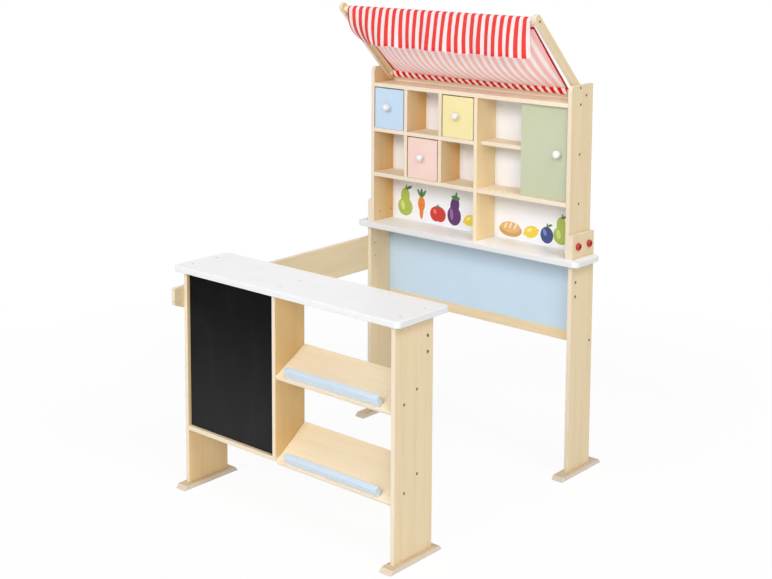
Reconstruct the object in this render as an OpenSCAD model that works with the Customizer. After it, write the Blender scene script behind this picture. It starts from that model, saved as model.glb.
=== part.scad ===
// Toy market stall: a back unit with a counter, cubbies and a striped awning, and a front counter
// with a chalkboard and two sloped display shelves, held together by one connecting rail.
// Units are millimetres. +Z is up, +Y points to the back and the origin is on the floor,
// under the middle of the whole stall.

/* [Stall] */
// Width across the outer faces of the legs
stall_w = 740; // [680:1:900]
// Thickness of the wooden boards
board_t = 12; // [10:0.5:16]
// Thickness of both counter boards
counter_t = 16; // [12:0.5:24]
// Height of the legs between the feet and the underside of the counters
leg_h = 586; // [520:1:700]
// Depth of the back unit's legs
back_d = 108; // [104:1:150]
// Depth of the front unit's legs
front_d = 141; // [130:1:190]
// Clear aisle between the legs of the two units
aisle = 598; // [450:1:750]

/* [Feet] */
// Length of a foot board
foot_l = 196; // [192:1:260]
// Width of a foot board
foot_w = 36; // [24:1:60]
// Thickness of a foot board
foot_h = 12; // [9:0.5:20]
// Run of the sloped ends of a foot board
foot_slope = 10; // [2:1:16]

/* [Counters] */
// Corner radius of both counter boards
counter_round = 18; // [4:1:26]
// Overhang of the back counter past the legs at each end
back_over_end = 27; // [20:1:50]
// Overhang of the back counter in front of its legs
back_over_front = 20; // [6:1:40]
// How far the back counter stops short of the rear edges of its legs
back_short_rear = 4; // [2:1:10]
// Overhang of the front counter past the legs at each end
front_over_end = 19; // [6:1:40]
// Overhang of the front counter in front of its legs
front_over_front = 17; // [6:1:40]
// Overhang of the front counter behind its legs
front_over_rear = 36; // [6:1:60]

/* [Upper shelf] */
// Depth of the upper side panels
upper_d = 106; // [98:1:140]
// Depth of the shelf boards in front of the back panel
shelf_d = 90; // [80:1:92]
// How far the back legs rise above the counter
leg_rise = 66; // [50:1:100]
// Height of the open bay on the counter
bay_h = 141.5; // [110:0.5:200]
// Height of one cubby
cubby_h = 124.5; // [100:0.5:160]
// Width of one cubby
cubby_w = 117.5; // [95:0.5:130]
// How far the side panels rise above the top board
head_h = 47.5; // [44:0.5:80]
// Radius of the side panels' front top corners
side_round = 15; // [3:1:30]
// Thickness of the printed back panel
back_panel_t = 4; // [3:0.5:5]
// How far the back panel rises above the top board
back_panel_rise = 9.5; // [0:0.5:14]
// Height of the coloured apron panel under the counter
apron_h = 214; // [120:1:300]
// Thickness of the apron panel
apron_t = 6; // [3:0.5:10]
// Height of the rail under the apron panel
apron_rail_h = 30; // [20:1:60]
// Setback of the apron behind the front edges of the back legs
apron_set = 89; // [60:1:90]

/* [Sliding door] */
// Width of the sliding door
door_w = 161; // [120:1:180]
// Thickness of the sliding door
door_t = 5; // [3:0.5:8]
// Setback of the door behind the front edges of the shelves
door_set = 14.5; // [10:0.5:24]
// Depth of the grooves that guide the door
groove_h = 4; // [3:0.5:6]
// Distance from the door knob to the right edge of the door
door_knob_in = 35; // [20:1:60]

/* [Drawers] */
// Gap on each side of a drawer
drawer_gap = 3.75; // [1:0.25:6]
// Gap above a drawer front
drawer_head_gap = 3; // [1:0.5:8]
// Thickness of a drawer front
drawer_front_t = 10; // [8:0.5:14]
// Thickness of a drawer's side and back walls
drawer_wall_t = 6; // [4:0.5:9]
// Thickness of a drawer's bottom
drawer_floor_t = 4; // [3:0.5:6]
// Height of a drawer's walls
drawer_wall_h = 78; // [40:1:90]
// Space left behind a closed drawer
drawer_rear_gap = 6; // [2:0.5:12]
// Diameter of the ball knobs
knob_d = 22; // [16:0.5:30]
// Height of the drawer knobs above the middle of the front
knob_lift = 6; // [0:1:20]

/* [Awning] */
// Width of the awning arms
arm_w = 24; // [20:0.5:30]
// Thickness of the awning arms
arm_t = 12; // [10:0.5:16]
// Length of the awning arms between the centres of their round ends
arm_l = 308; // [220:1:380]
// Lean of the arms from the horizontal
arm_lean = 45; // [38:1:52]
// Setback of the arms' lower round ends behind the shelf fronts
arm_set = 72.5; // [60:0.5:80]
// Gap between the arms' lower ends and the top board
arm_gap = 5.5; // [1:0.5:8]
// Diameter of the front rod
front_rod_d = 20; // [14:0.5:21]
// Diameter of the rear rod
rear_rod_d = 12; // [10:0.5:14]
// Gap between the cloth's front corners and the arms
cloth_end_gap = 10; // [4:0.5:40]
// How much each side of the cloth draws in towards the rear rod
cloth_draw_in = 11; // [0:0.5:30]
// How far the cloth lies to the right on the rear rod
cloth_rear_shift = -8; // [-10:0.5:10]
// Thickness of the cloth
cloth_t = 1.2; // [0.8:0.1:1.6]
// Depth of the belly in the cloth between the rods
slope_sag = 42; // [5:1:60]
// Height of the hanging valance
valance_h = 100; // [60:1:150]
// How far the valance swells to the front
valance_swell = 9; // [0:0.5:45]
// How far the valance's left corner curls to the back
valance_curl = 70; // [0:1:90]

/* [Front unit] */
// Width of the chalkboard bay
chalk_w = 320; // [240:1:380]
// Thickness of the chalkboard
chalk_t = 5; // [3:0.5:8]
// Setback of the chalkboard behind the front edges
chalk_set = 10; // [4:0.5:20]
// Height of the ledge board above the floor
ledge_z = 162; // [100:1:220]
// Depth of the middle divider
divider_d = 107; // [90:1:125]
// Tilt of the lower display shelf
lower_tilt = 35.5; // [20:0.5:40]
// Tilt of the upper display shelf
upper_tilt = 29.5; // [15:0.5:40]
// Height of the lower display shelf's front edge above the underside of the ledge
lower_rise = 1.5; // [-2:0.5:10]
// Height of the upper display shelf's front edge
upper_front_z = 387; // [330:0.5:440]
// Depth of the stop bars along the shelf
bar_d = 14; // [10:0.5:24]
// Height of the stop bars above the shelf
bar_h = 28; // [12:0.5:36]
// Gap between a stop bar and the boards at its ends
bar_end_gap = 38; // [5:1:80]
// Setback of a stop bar behind the shelf's front edge
bar_set = 5; // [0:0.5:20]

/* [Connecting rail] */
// Height of the rail
rail_h = 104; // [90:1:130]
// Drop of the rail's top edge below the counters
rail_drop = 35; // [10:1:60]
// How far the rail's top edge falls towards its front end
rail_front_drop = 6; // [0:0.5:9]
// How far the rail reaches past the front legs
rail_nose = 33; // [30:1:60]
// Height of the rail's slim front end
rail_nose_h = 46; // [30:1:60]
// Length over which the rail grows to its full height
rail_taper = 138; // [60:1:140]
// Distance between the two bolts of a rail joint
bolt_pitch = 40; // [30:1:50]
// Distance from the legs' edges to the rail bolts
bolt_in = 20; // [14:1:26]

/* [Fasteners] */
// Diameter of the wood screws' heads
screw_head_d = 7.5; // [6:0.1:9]
// Diameter of the wood screws' shanks
screw_d = 3.6; // [3:0.1:4.5]
// Length of the wood screws
screw_l = 21.5; // [18:0.5:22]
// Diameter of the joining bolts
bolt_d = 6; // [5:0.5:7]
// Diameter of the sleeve nuts
sleeve_d = 7.6; // [7.2:0.1:9.6]
// Diameter of the cup washers on the clamp bolts
cup_d = 20; // [16:0.5:24]
// Height of the cup washers
cup_h = 8; // [6:0.5:10]

/* [Hidden] */

$fn = 48;

// Colours of the finishes
wood = [0.90, 0.80, 0.64];
wood_edge = [0.93, 0.86, 0.73];
white_paint = [0.95, 0.95, 0.96];
pale_blue = [0.78, 0.86, 0.93];
pale_yellow = [0.97, 0.92, 0.67];
pale_pink = [0.96, 0.80, 0.76];
sage_green = [0.80, 0.82, 0.70];
chalk_black = [0.13, 0.13, 0.14];
stripe_red = [0.92, 0.26, 0.24];
cup_red = [0.75, 0.08, 0.10];
steel = [0.70, 0.70, 0.72];

// Clearances: between glued or screwed pieces, around fasteners, in the spare rail holes
// and around moving pieces
fit_gap = 0.1;
hole_gap = 0.1;
spare_gap = 0.4;
run_gap = 0.3;
groove_gap = 0.5;
// Reach of a cut past the face that it opens
cut_over = 1;

// Sides: the boards' faces counted from the middle
leg_x = stall_w / 2;
leg_in_x = leg_x - board_t;
side_in_x = leg_in_x - board_t;
arm_in_x = side_in_x - arm_t;

// Heights
leg_top_z = foot_h + leg_h;
counter_z = leg_top_z + counter_t;
lower_z = counter_z + bay_h;
row_z = lower_z + board_t + cubby_h;
top_z = row_z + board_t + cubby_h;
top_face_z = top_z + board_t;
side_top_z = top_face_z + head_h;
rail_top_z = leg_top_z - rail_drop;
apron_z = leg_top_z - apron_h;

// Depths, first counted from the front edges of the back legs, then centred on the floor
foot_over_back = (foot_l - back_d) / 2;
foot_over_front = (foot_l - front_d) / 2;
front_reach = aisle + front_d + max(rail_nose, foot_over_front, front_over_front);
rear_reach = max(back_d + foot_over_back, upper_d);
back_y = (front_reach - rear_reach) / 2;
front_y = back_y - aisle - front_d;
front_rear_y = front_y + front_d;
shelf_rear_y = back_y + shelf_d;

// Columns and rows of the cubbies
columns = 3;
column_step = cubby_w + board_t;
function column_x(i) = -side_in_x + i * column_step;
main_x = column_x(columns) - board_t;
main_right_x = main_x + board_t;
function floor_z(row) = row == 0 ? row_z + board_t : lower_z + board_t;
lap_y = back_y + shelf_d / 2;

// Door and its grooves
door_y = back_y + door_set;
door_right_x = side_in_x - run_gap;
door_left_x = door_right_x - door_w;
door_low_z = lower_z + board_t - groove_h + run_gap;
door_lift_gap = 2;
door_high_z = top_z + groove_h - door_lift_gap;
mid_shelf_y = door_y + door_t + groove_gap;

// Knobs: a ball on a short neck, with a glued peg
knob_neck_d = 11;
knob_neck_l = 3;
knob_sink = 1;
peg_d = 8;
drawer_peg_wall = 3;
door_peg_wall = 1.5;
drawer_peg_l = drawer_front_t - drawer_peg_wall;
door_peg_l = door_t - door_peg_wall;

// Awning arms, in the plane of the arms: along and across
arm_dir = [-cos(arm_lean), sin(arm_lean)];
arm_across = [sin(arm_lean), cos(arm_lean)];
arm_low = [back_y + arm_set, top_face_z + arm_w / 2 + arm_gap];
function arm_at(along, across) = arm_low + along * arm_dir + across * arm_across;
front_rod_in = 10;
rear_rod_along = 9;
rear_rod_wall = 3;
rear_rod_across = rear_rod_wall - arm_w / 2 + rear_rod_d / 2;
rod_socket = 5;
front_rod_at = arm_at(arm_l - front_rod_in, 0);
rear_rod_at = arm_at(rear_rod_along, rear_rod_across);
arm_screw_in = 8;
arm_screw_across = -5;
arm_screw_z = side_top_z - arm_screw_in;
arm_screw_along = (arm_screw_z - arm_low[1] - arm_screw_across * cos(arm_lean)) / sin(arm_lean);
arm_screw_spots = [arm_low, arm_at(arm_screw_along, arm_screw_across)];

// Front unit
divider_x = -leg_in_x + chalk_w;
divider_right_x = divider_x + board_t;
ledge_top_z = ledge_z + board_t;
lower_front_z = ledge_z + lower_rise;
display_w = leg_in_x - divider_right_x;
shelf_mid = board_t / 2;
ledge_screw_rise = 7.5;
upper_screw_in = 36;
rear_screw_in = 33;
ledge_screw_in = 32;

// Fasteners
bolt_head_d = 10;
bolt_head_h = 3.5;
cup_floor = 3;
cup_rim = 2;
flange_d = 12;
flange_h = 1.5;
sleeve_l = board_t - 2;
nut_bolt_gap = 2;
screw_head_h = (screw_head_d - screw_d) / 2;
foot_screw_sink = 0.5;
foot_screw_share = [0.25, 0.75];
counter_screw_in = 26;
divider_screw_in = 12;
clamp_in = 27;
flange_gap = 3;
clamp_y = [back_y + clamp_in, shelf_rear_y - flange_gap - flange_d / 2];
rail_bolt_drop = 15;
rail_bolt_z = [rail_top_z - rail_bolt_drop, rail_top_z - rail_bolt_drop - bolt_pitch];
back_bolt_y = back_y + bolt_in;
front_bolt_y = front_rear_y - bolt_in;
clamp_z = counter_z + leg_rise / 2;

// Helpers

module slab(low, high) {
    translate(low)
        cube(high - low);
}

module on_side(side) {
    if (side < 0)
        mirror([1, 0, 0])
            children();
    else
        children();
}

// Plan outline with rounded corners
module round_plate(low, high, r) {
    size = high - low;
    translate(low)
        union() {
            translate([r, 0, 0])
                cube([size.x - 2 * r, size.y, size.z]);
            translate([0, r, 0])
                cube([size.x, size.y - 2 * r, size.z]);
            for (x = [r, size.x - r])
                for (y = [r, size.y - r])
                    translate([x, y, 0])
                        cylinder(h = size.z, r = r);
        }
}

// Countersunk screw, with its head at the origin and its tip down
module screw(gap = 0) {
    head_r = screw_head_d / 2 + gap;
    shank_r = screw_d / 2 + gap;
    tip = screw_l + gap;
    rotate_extrude()
        polygon([[0, gap], [head_r, gap], [head_r, 0], [shank_r, -screw_head_h],
                 [shank_r, -tip], [0, -tip]]);
}

module screw_right(at, gap = 0) {
    translate(at)
        rotate([0, 90, 0])
            screw(gap);
}

module screw_left(at, gap = 0) {
    translate(at)
        rotate([0, -90, 0])
            screw(gap);
}

module bolt_hole_x(low_x, high_x, y, z, d, gap = hole_gap) {
    translate([low_x - cut_over, y, z])
        rotate([0, 90, 0])
            cylinder(h = high_x - low_x + 2 * cut_over, d = d + 2 * gap);
}

// The left legs' rail holes hold sleeve nuts and the right legs' ones are spare
function rail_hole_gap(side) = side < 0 ? hole_gap : spare_gap;

// Screws by joint, drawn as screws or, with a gap, as their holes

module shelf_end_screws(gap = 0) {
    for (side = [-1, 1])
        for (z = [lower_z, row_z, top_z])
            on_side(side)
                screw_right([leg_in_x, lap_y, z + board_t / 2], gap);
}

module arm_screws(gap = 0) {
    for (side = [-1, 1])
        for (spot = arm_screw_spots)
            on_side(side)
                screw_right([leg_in_x, spot[0], spot[1]], gap);
}

module rod_screws(gap = 0) {
    for (side = [-1, 1])
        on_side(side)
            screw_right([side_in_x, front_rod_at[0], front_rod_at[1]], gap);
}

module apron_screws(gap = 0) {
    for (side = [-1, 1])
        on_side(side)
            screw_right([leg_x, back_y + apron_set + board_t / 2, apron_z - apron_rail_h / 2], gap);
}

// Points in the middle of a sloped shelf's thickness; the first lower one stays above the ledge
function shelf_l(tilt) = divider_d / cos(tilt);
function shelf_spot(tilt, front_z, along) =
    [front_y + along * cos(tilt) + shelf_mid * sin(tilt),
     front_z + along * sin(tilt) - shelf_mid * cos(tilt)];
lower_first = (board_t - lower_rise + ledge_screw_rise + shelf_mid * cos(lower_tilt)) / sin(lower_tilt);
display_spots = [
    shelf_spot(lower_tilt, lower_front_z, lower_first),
    shelf_spot(lower_tilt, lower_front_z, shelf_l(lower_tilt) - rear_screw_in),
    shelf_spot(upper_tilt, upper_front_z, upper_screw_in),
    shelf_spot(upper_tilt, upper_front_z, shelf_l(upper_tilt) - rear_screw_in)
];

module display_screws(gap = 0) {
    for (spot = display_spots) {
        screw_right([leg_x, spot[0], spot[1]], gap);
        screw_left([divider_x, spot[0], spot[1]], gap);
    }
}

module ledge_screws(gap = 0) {
    for (y = [front_y + ledge_screw_in, front_y + divider_d - ledge_screw_in])
        screw_left([-leg_x, y, ledge_z + board_t / 2], gap);
}

module counter_screws(gap = 0) {
    for (x = [-leg_x + board_t / 2, leg_x - board_t / 2])
        for (y = [front_y + counter_screw_in, front_rear_y - counter_screw_in])
            translate([x, y, counter_z])
                screw(gap);
    for (y = [front_y + counter_screw_in, front_y + divider_d - divider_screw_in])
        translate([divider_x + board_t / 2, y, counter_z])
            screw(gap);
}

module foot_screws(low_y, depth, gap = 0) {
    for (side = [-1, 1])
        for (share = foot_screw_share)
            translate([side * (leg_x - board_t / 2), low_y + share * depth, foot_screw_sink])
                mirror([0, 0, 1])
                    screw(gap);
}

module foot_screw_wells(low_y, depth) {
    for (side = [-1, 1])
        for (share = foot_screw_share)
            translate([side * (leg_x - board_t / 2), low_y + share * depth, -cut_over])
                cylinder(h = cut_over + foot_screw_sink, d = screw_head_d + 2 * hole_gap);
}

// Back unit

module back_leg(side) {
    color(wood)
        difference() {
            on_side(side)
                difference() {
                    slab([leg_in_x, back_y, foot_h], [leg_x, back_y + back_d, counter_z + leg_rise]);
                    for (y = clamp_y)
                        bolt_hole_x(leg_in_x, leg_x, y, clamp_z, bolt_d);
                    for (z = rail_bolt_z)
                        bolt_hole_x(leg_in_x, leg_x, back_bolt_y, z, sleeve_d, rail_hole_gap(side));
                }
            apron_screws(hole_gap);
            foot_screws(back_y, back_d, hole_gap);
        }
}

module foot(side, low_y, depth) {
    start_y = low_y + depth / 2 - foot_l / 2;
    color(wood)
        difference() {
            translate([side * (leg_x - board_t / 2) - foot_w / 2, start_y, 0])
                rotate([90, 0, 90])
                    linear_extrude(foot_w)
                        polygon([[0, 0], [foot_l, 0], [foot_l - foot_slope, foot_h], [foot_slope, foot_h]]);
            foot_screws(low_y, depth, hole_gap);
            foot_screw_wells(low_y, depth);
        }
}

module back_counter() {
    color(white_paint)
        difference() {
            round_plate([-leg_x - back_over_end, back_y - back_over_front, leg_top_z],
                        [leg_x + back_over_end, back_y + back_d - back_short_rear, counter_z],
                        counter_round);
            for (side = [-1, 1])
                on_side(side)
                    slab([leg_in_x - fit_gap, back_y - fit_gap, leg_top_z - cut_over],
                         [leg_x + fit_gap, back_y + back_d, counter_z + cut_over]);
        }
}

module apron_panel() {
    color(pale_blue)
        slab([-leg_in_x, back_y + apron_set, apron_z],
             [leg_in_x, back_y + apron_set + apron_t, leg_top_z]);
}

module apron_rail() {
    color(wood)
        difference() {
            slab([-leg_in_x, back_y + apron_set, apron_z - apron_rail_h],
                 [leg_in_x, back_y + apron_set + board_t, apron_z]);
            apron_screws(hole_gap);
        }
}

// Upper shelf

module upper_side(side) {
    color(wood)
        difference() {
            on_side(side)
                difference() {
                    union() {
                        slab([side_in_x, back_y, counter_z],
                             [leg_in_x, back_y + upper_d, side_top_z - side_round]);
                        slab([side_in_x, back_y + side_round, counter_z],
                             [leg_in_x, back_y + upper_d, side_top_z]);
                        translate([side_in_x, back_y + side_round, side_top_z - side_round])
                            rotate([0, 90, 0])
                                cylinder(h = board_t, r = side_round);
                    }
                    for (y = clamp_y)
                        bolt_hole_x(side_in_x, leg_in_x, y, clamp_z, sleeve_d);
                }
            shelf_end_screws(hole_gap);
            arm_screws(hole_gap);
        }
}

module door_groove(low_z, high_z) {
    slab([main_right_x, door_y - groove_gap, low_z],
         [side_in_x + cut_over, door_y + door_t + groove_gap, high_z]);
}

module top_board() {
    color(wood)
        difference() {
            slab([-side_in_x, back_y, top_z], [side_in_x, shelf_rear_y, top_face_z]);
            door_groove(top_z - cut_over, top_z + groove_h);
            shelf_end_screws(hole_gap);
        }
}

module main_divider() {
    color(wood)
        slab([main_x, back_y, counter_z], [main_right_x, shelf_rear_y, top_z]);
}

// The row shelf and the partitions cross in half laps
module row_shelf() {
    color(wood)
        difference() {
            slab([-side_in_x, back_y, row_z], [main_x, shelf_rear_y, row_z + board_t]);
            for (i = [1 : columns - 1])
                slab([column_x(i) - board_t, lap_y, row_z - cut_over],
                     [column_x(i), shelf_rear_y + cut_over, row_z + board_t + cut_over]);
            shelf_end_screws(hole_gap);
        }
}

module partition(i) {
    x = column_x(i) - board_t;
    color(wood)
        difference() {
            slab([x, back_y, lower_z + board_t], [x + board_t, shelf_rear_y, top_z]);
            slab([x - cut_over, back_y - cut_over, row_z], [x + board_t + cut_over, lap_y, row_z + board_t]);
        }
}

module lower_shelf_left() {
    color(wood)
        difference() {
            slab([-side_in_x, back_y, lower_z], [main_x, shelf_rear_y, lower_z + board_t]);
            shelf_end_screws(hole_gap);
        }
}

module lower_shelf_right() {
    color(wood)
        difference() {
            slab([main_right_x, back_y, lower_z], [side_in_x, shelf_rear_y, lower_z + board_t]);
            door_groove(lower_z + board_t - groove_h, lower_z + board_t + cut_over);
            shelf_end_screws(hole_gap);
        }
}

module mid_shelf() {
    color(wood)
        difference() {
            slab([main_right_x, mid_shelf_y, row_z], [side_in_x, shelf_rear_y, row_z + board_t]);
            shelf_end_screws(hole_gap);
        }
}

module back_panel() {
    color(white_paint)
        slab([-side_in_x, shelf_rear_y, counter_z], [side_in_x, shelf_rear_y + back_panel_t, top_face_z + back_panel_rise]);
}

// Awning

module awning_arm(side) {
    color(wood)
        difference() {
            on_side(side)
                difference() {
                    translate([arm_in_x, arm_low[0], arm_low[1]])
                        rotate([180 - arm_lean, 0, 0])
                            union() {
                                translate([0, 0, -arm_w / 2])
                                    cube([arm_t, arm_l, arm_w]);
                                for (along = [0, arm_l])
                                    translate([0, along, 0])
                                        rotate([0, 90, 0])
                                            cylinder(h = arm_t, d = arm_w);
                            }
                    translate([arm_in_x - cut_over, rear_rod_at[0], rear_rod_at[1]])
                        rotate([0, 90, 0])
                            cylinder(h = rod_socket + cut_over, d = rear_rod_d + 2 * hole_gap);
                }
            arm_screws(hole_gap);
            rod_screws(hole_gap);
        }
}

module rod(at, half_l, d) {
    translate([-half_l, at[0], at[1]])
        rotate([0, 90, 0])
            cylinder(h = 2 * half_l, d = d);
}

module awning_front_rod() {
    color(wood_edge)
        difference() {
            rod(front_rod_at, arm_in_x, front_rod_d);
            rod_screws(hole_gap);
        }
}

module awning_rear_rod() {
    color(wood_edge)
        rod(rear_rod_at, arm_in_x + rod_socket, rear_rod_d);
}

// Cloth: a sheet whose cross-section runs from the hem around the rear rod, up the slope,
// over the front rod and down the valance. Rings follow that path and columns run along the rods.

cloth_w = 2 * (arm_in_x - cloth_end_gap);
cloth_rear_w = cloth_w - 2 * cloth_draw_in;
cloth_columns = 22;
rear_turn_steps = 6;
rear_turn_by = 225;
slope_steps = 4;
front_turn_steps = 8;
valance_steps = 7;
cloth_rod_gap = 0.4;
hem_flap = 14;
hem_flap_gap = 2;
belly_power = 4;
fold_depth = 4;
fold_count = 3;
fold_at = 20;
curl_reach = 210;
right_reach = 60;
right_curl = 8;
curl_ease = 2.9;
front_turn_from = 285;
front_turn_by = 240;
swell_early = 0.9;
swell_end = 105;
curl_power = 3;
curl_tuck = 1.5;

slope_run = front_rod_at - rear_rod_at;
slope_dir = slope_run / norm(slope_run);
slope_out = [slope_dir[1], -slope_dir[0]];
slope_angle = atan2(slope_out[1], slope_out[0]);

function turn_r(d, by, steps) = (d / 2 + cloth_rod_gap + cloth_t / 2) / cos(by / steps / 2);
function turned(at, r, a) = at + r * [cos(a), sin(a)];
rear_turn_r = turn_r(rear_rod_d, rear_turn_by, rear_turn_steps);
front_turn_r = turn_r(front_rod_d, front_turn_by, front_turn_steps);

slope_from = turned(rear_rod_at, rear_turn_r, slope_angle);
slope_to = turned(front_rod_at, front_turn_r, front_turn_from);
valance_from = turned(front_rod_at, front_turn_r, front_turn_from + front_turn_by);

function curl_share(from_end, reach) = pow(max(0, 1 - from_end / reach), curl_ease);
function fold(x) = -fold_depth * cos(360 * fold_count * (x - fold_at) / cloth_w);

function rear_ring(i) =
    turned(rear_rod_at, rear_turn_r, slope_angle - rear_turn_by * (1 - i / rear_turn_steps));
function belly(x) = 1 - pow(abs(2 * x / cloth_w), belly_power);
function slope_ring(i, x) =
    let (t = i / slope_steps)
    slope_from + (slope_to - slope_from) * t - slope_sag * belly(x) * sin(180 * t) * slope_out;
// The hem turns back to the underside of the slope's first step
function hem_ring(x) =
    let (first = slope_ring(1, x) - slope_from)
    slope_from + first * hem_flap / norm(first) - hem_flap_gap * slope_out;
function front_ring(i) =
    turned(front_rod_at, front_turn_r, front_turn_from + front_turn_by * i / front_turn_steps);
function valance_ring(i, x) =
    let (s = i / valance_steps,
         left = curl_share(cloth_w / 2 + x, curl_reach),
         right = curl_share(cloth_w / 2 - x, right_reach),
         free = (1 - left) * (1 - right),
         swell = valance_swell * sin(swell_end * pow(s, swell_early)),
         back = (valance_curl * left + right_curl * right) * pow(s, curl_power) - curl_tuck * (1 - free))
    valance_from + [back + (fold(x) * s - swell) * free, -valance_h * s];

hem_at = 0;
rear_at = 1;
slope_at = rear_at + rear_turn_steps + 1;
front_at = slope_at + slope_steps - 1;
valance_at = front_at + front_turn_steps + 1;
rings = valance_at + valance_steps;

function ring_point(r, x) =
    r == hem_at ? hem_ring(x) :
    r < slope_at ? rear_ring(r - rear_at) :
    r < front_at ? slope_ring(r - slope_at + 1, x) :
    r < valance_at ? front_ring(r - front_at) :
    valance_ring(r - valance_at + 1, x);

function ring_up(r) = max(0, min(1, (r - slope_at + 1) / slope_steps));
function ring_w(r) = cloth_rear_w + (cloth_w - cloth_rear_w) * ring_up(r);
function ring_mid(r) = cloth_rear_shift * (1 - ring_up(r));

function ring_side(r, x) =
    let (before = ring_point(max(r - 1, 0), x),
         after = ring_point(min(r + 1, rings - 1), x),
         along = after - before)
    [along[1], -along[0]] / norm(along);

function cloth_point(r, c, layer) =
    let (share = c / (cloth_columns - 1) - 0.5,
         x = share * cloth_w,
         p = ring_point(r, x) + layer * cloth_t / 2 * ring_side(r, x))
    [ring_mid(r) + share * ring_w(r), p[0], p[1]];

layer_size = rings * cloth_columns;
function cloth_id(r, c, layer) = layer * layer_size + r * cloth_columns + c;
function quad(a, b, c, d) = [[a, b, c], [a, c, d]];

cloth_points = [
    for (layer = [1, -1])
        for (r = [0 : rings - 1])
            for (c = [0 : cloth_columns - 1])
                cloth_point(r, c, layer)
];
last_c = cloth_columns - 1;
last_r = rings - 1;
cloth_faces = concat(
    [for (r = [0 : last_r - 1]) for (c = [0 : last_c - 1]) each
        quad(cloth_id(r, c, 0), cloth_id(r, c + 1, 0), cloth_id(r + 1, c + 1, 0), cloth_id(r + 1, c, 0))],
    [for (r = [0 : last_r - 1]) for (c = [0 : last_c - 1]) each
        quad(cloth_id(r, c, 1), cloth_id(r + 1, c, 1), cloth_id(r + 1, c + 1, 1), cloth_id(r, c + 1, 1))],
    [for (r = [0 : last_r - 1]) each
        quad(cloth_id(r, 0, 0), cloth_id(r + 1, 0, 0), cloth_id(r + 1, 0, 1), cloth_id(r, 0, 1))],
    [for (r = [0 : last_r - 1]) each
        quad(cloth_id(r, last_c, 0), cloth_id(r, last_c, 1),
             cloth_id(r + 1, last_c, 1), cloth_id(r + 1, last_c, 0))],
    [for (c = [0 : last_c - 1]) each
        quad(cloth_id(0, c, 0), cloth_id(0, c, 1), cloth_id(0, c + 1, 1), cloth_id(0, c + 1, 0))],
    [for (c = [0 : last_c - 1]) each
        quad(cloth_id(last_r, c, 0), cloth_id(last_r, c + 1, 0),
             cloth_id(last_r, c + 1, 1), cloth_id(last_r, c, 1))]
);

module awning_cloth() {
    color(stripe_red)
        polyhedron(cloth_points, cloth_faces, convexity = 6);
}

// Clamp bolts with cup washers, and sleeve nuts

module clamp_spots() {
    for (side = [-1, 1])
        for (y = clamp_y)
            on_side(side)
                translate([leg_x, y, clamp_z])
                    rotate([0, 90, 0])
                        children();
}

module clamp_washers() {
    hole_r = bolt_d / 2 + hole_gap;
    well_r = bolt_head_d / 2 + 2 * hole_gap;
    color(cup_red)
        clamp_spots()
            rotate_extrude()
                polygon([[hole_r, 0], [cup_d / 2, 0], [cup_d / 2, cup_h - cup_rim],
                         [cup_d / 2 - cup_rim, cup_h], [well_r, cup_h],
                         [well_r, cup_floor], [hole_r, cup_floor]]);
}

module bolt(shank_l) {
    cylinder(h = bolt_head_h, d = bolt_head_d);
    translate([0, 0, -shank_l])
        cylinder(h = shank_l + bolt_head_h / 2, d = bolt_d);
}

module clamp_bolts() {
    color(steel)
        clamp_spots()
            translate([0, 0, cup_floor])
                bolt(cup_floor + 2 * board_t - nut_bolt_gap);
}

// A flanged sleeve with its flange at the origin, reaching up into its board
module sleeve_nut() {
    bore_r = bolt_d / 2 + hole_gap;
    rotate_extrude()
        polygon([[bore_r, -flange_h], [flange_d / 2, -flange_h], [flange_d / 2, 0], [sleeve_d / 2, 0],
                 [sleeve_d / 2, sleeve_l], [bore_r, sleeve_l]]);
}

module sleeve_nuts() {
    color(steel) {
        clamp_spots()
            translate([0, 0, -2 * board_t])
                sleeve_nut();
        for (y = [back_bolt_y, front_bolt_y])
            for (z = rail_bolt_z)
                translate([-leg_in_x, y, z])
                    rotate([0, -90, 0])
                        sleeve_nut();
    }
}

module wood_screws() {
    color(steel) {
        shelf_end_screws();
        arm_screws();
        rod_screws();
        apron_screws();
        display_screws();
        ledge_screws();
        counter_screws();
        foot_screws(back_y, back_d);
        foot_screws(front_y, front_d);
    }
}

// Front unit

module front_leg(side) {
    color(wood)
        difference() {
            on_side(side)
                difference() {
                    slab([leg_in_x, front_y, foot_h], [leg_x, front_rear_y, leg_top_z]);
                    for (z = rail_bolt_z)
                        bolt_hole_x(leg_in_x, leg_x, front_bolt_y, z, sleeve_d, rail_hole_gap(side));
                }
            if (side > 0)
                display_screws(hole_gap);
            else
                ledge_screws(hole_gap);
            counter_screws(hole_gap);
            foot_screws(front_y, front_d, hole_gap);
        }
}

module front_counter() {
    color(white_paint)
        difference() {
            round_plate([-leg_x - front_over_end, front_y - front_over_front, leg_top_z],
                        [leg_x + front_over_end, front_rear_y + front_over_rear, counter_z],
                        counter_round);
            counter_screws(hole_gap);
        }
}

module front_divider() {
    color(wood)
        difference() {
            slab([divider_x, front_y, ledge_top_z], [divider_right_x, front_y + divider_d, leg_top_z]);
            counter_screws(hole_gap);
            display_screws(hole_gap);
        }
}

module chalkboard() {
    color(chalk_black)
        slab([-leg_in_x, front_y + chalk_set, ledge_top_z],
             [divider_x, front_y + chalk_set + chalk_t, leg_top_z]);
}

module chalkboard_ledge() {
    color(wood)
        difference() {
            slab([-leg_in_x, front_y, ledge_z], [divider_right_x, front_y + divider_d, ledge_top_z]);
            ledge_screws(hole_gap);
        }
}

// Places its children on a sloped shelf's face: X along the front edge, Y up the slope
module on_slope(tilt, front_z) {
    translate([divider_right_x, front_y, front_z])
        rotate([tilt, 0, 0])
            children();
}

module display_shelf(tilt, front_z) {
    color(wood)
        difference() {
            on_slope(tilt, front_z)
                translate([0, 0, -board_t])
                    cube([display_w, shelf_l(tilt), board_t]);
            display_screws(hole_gap);
        }
}

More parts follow.
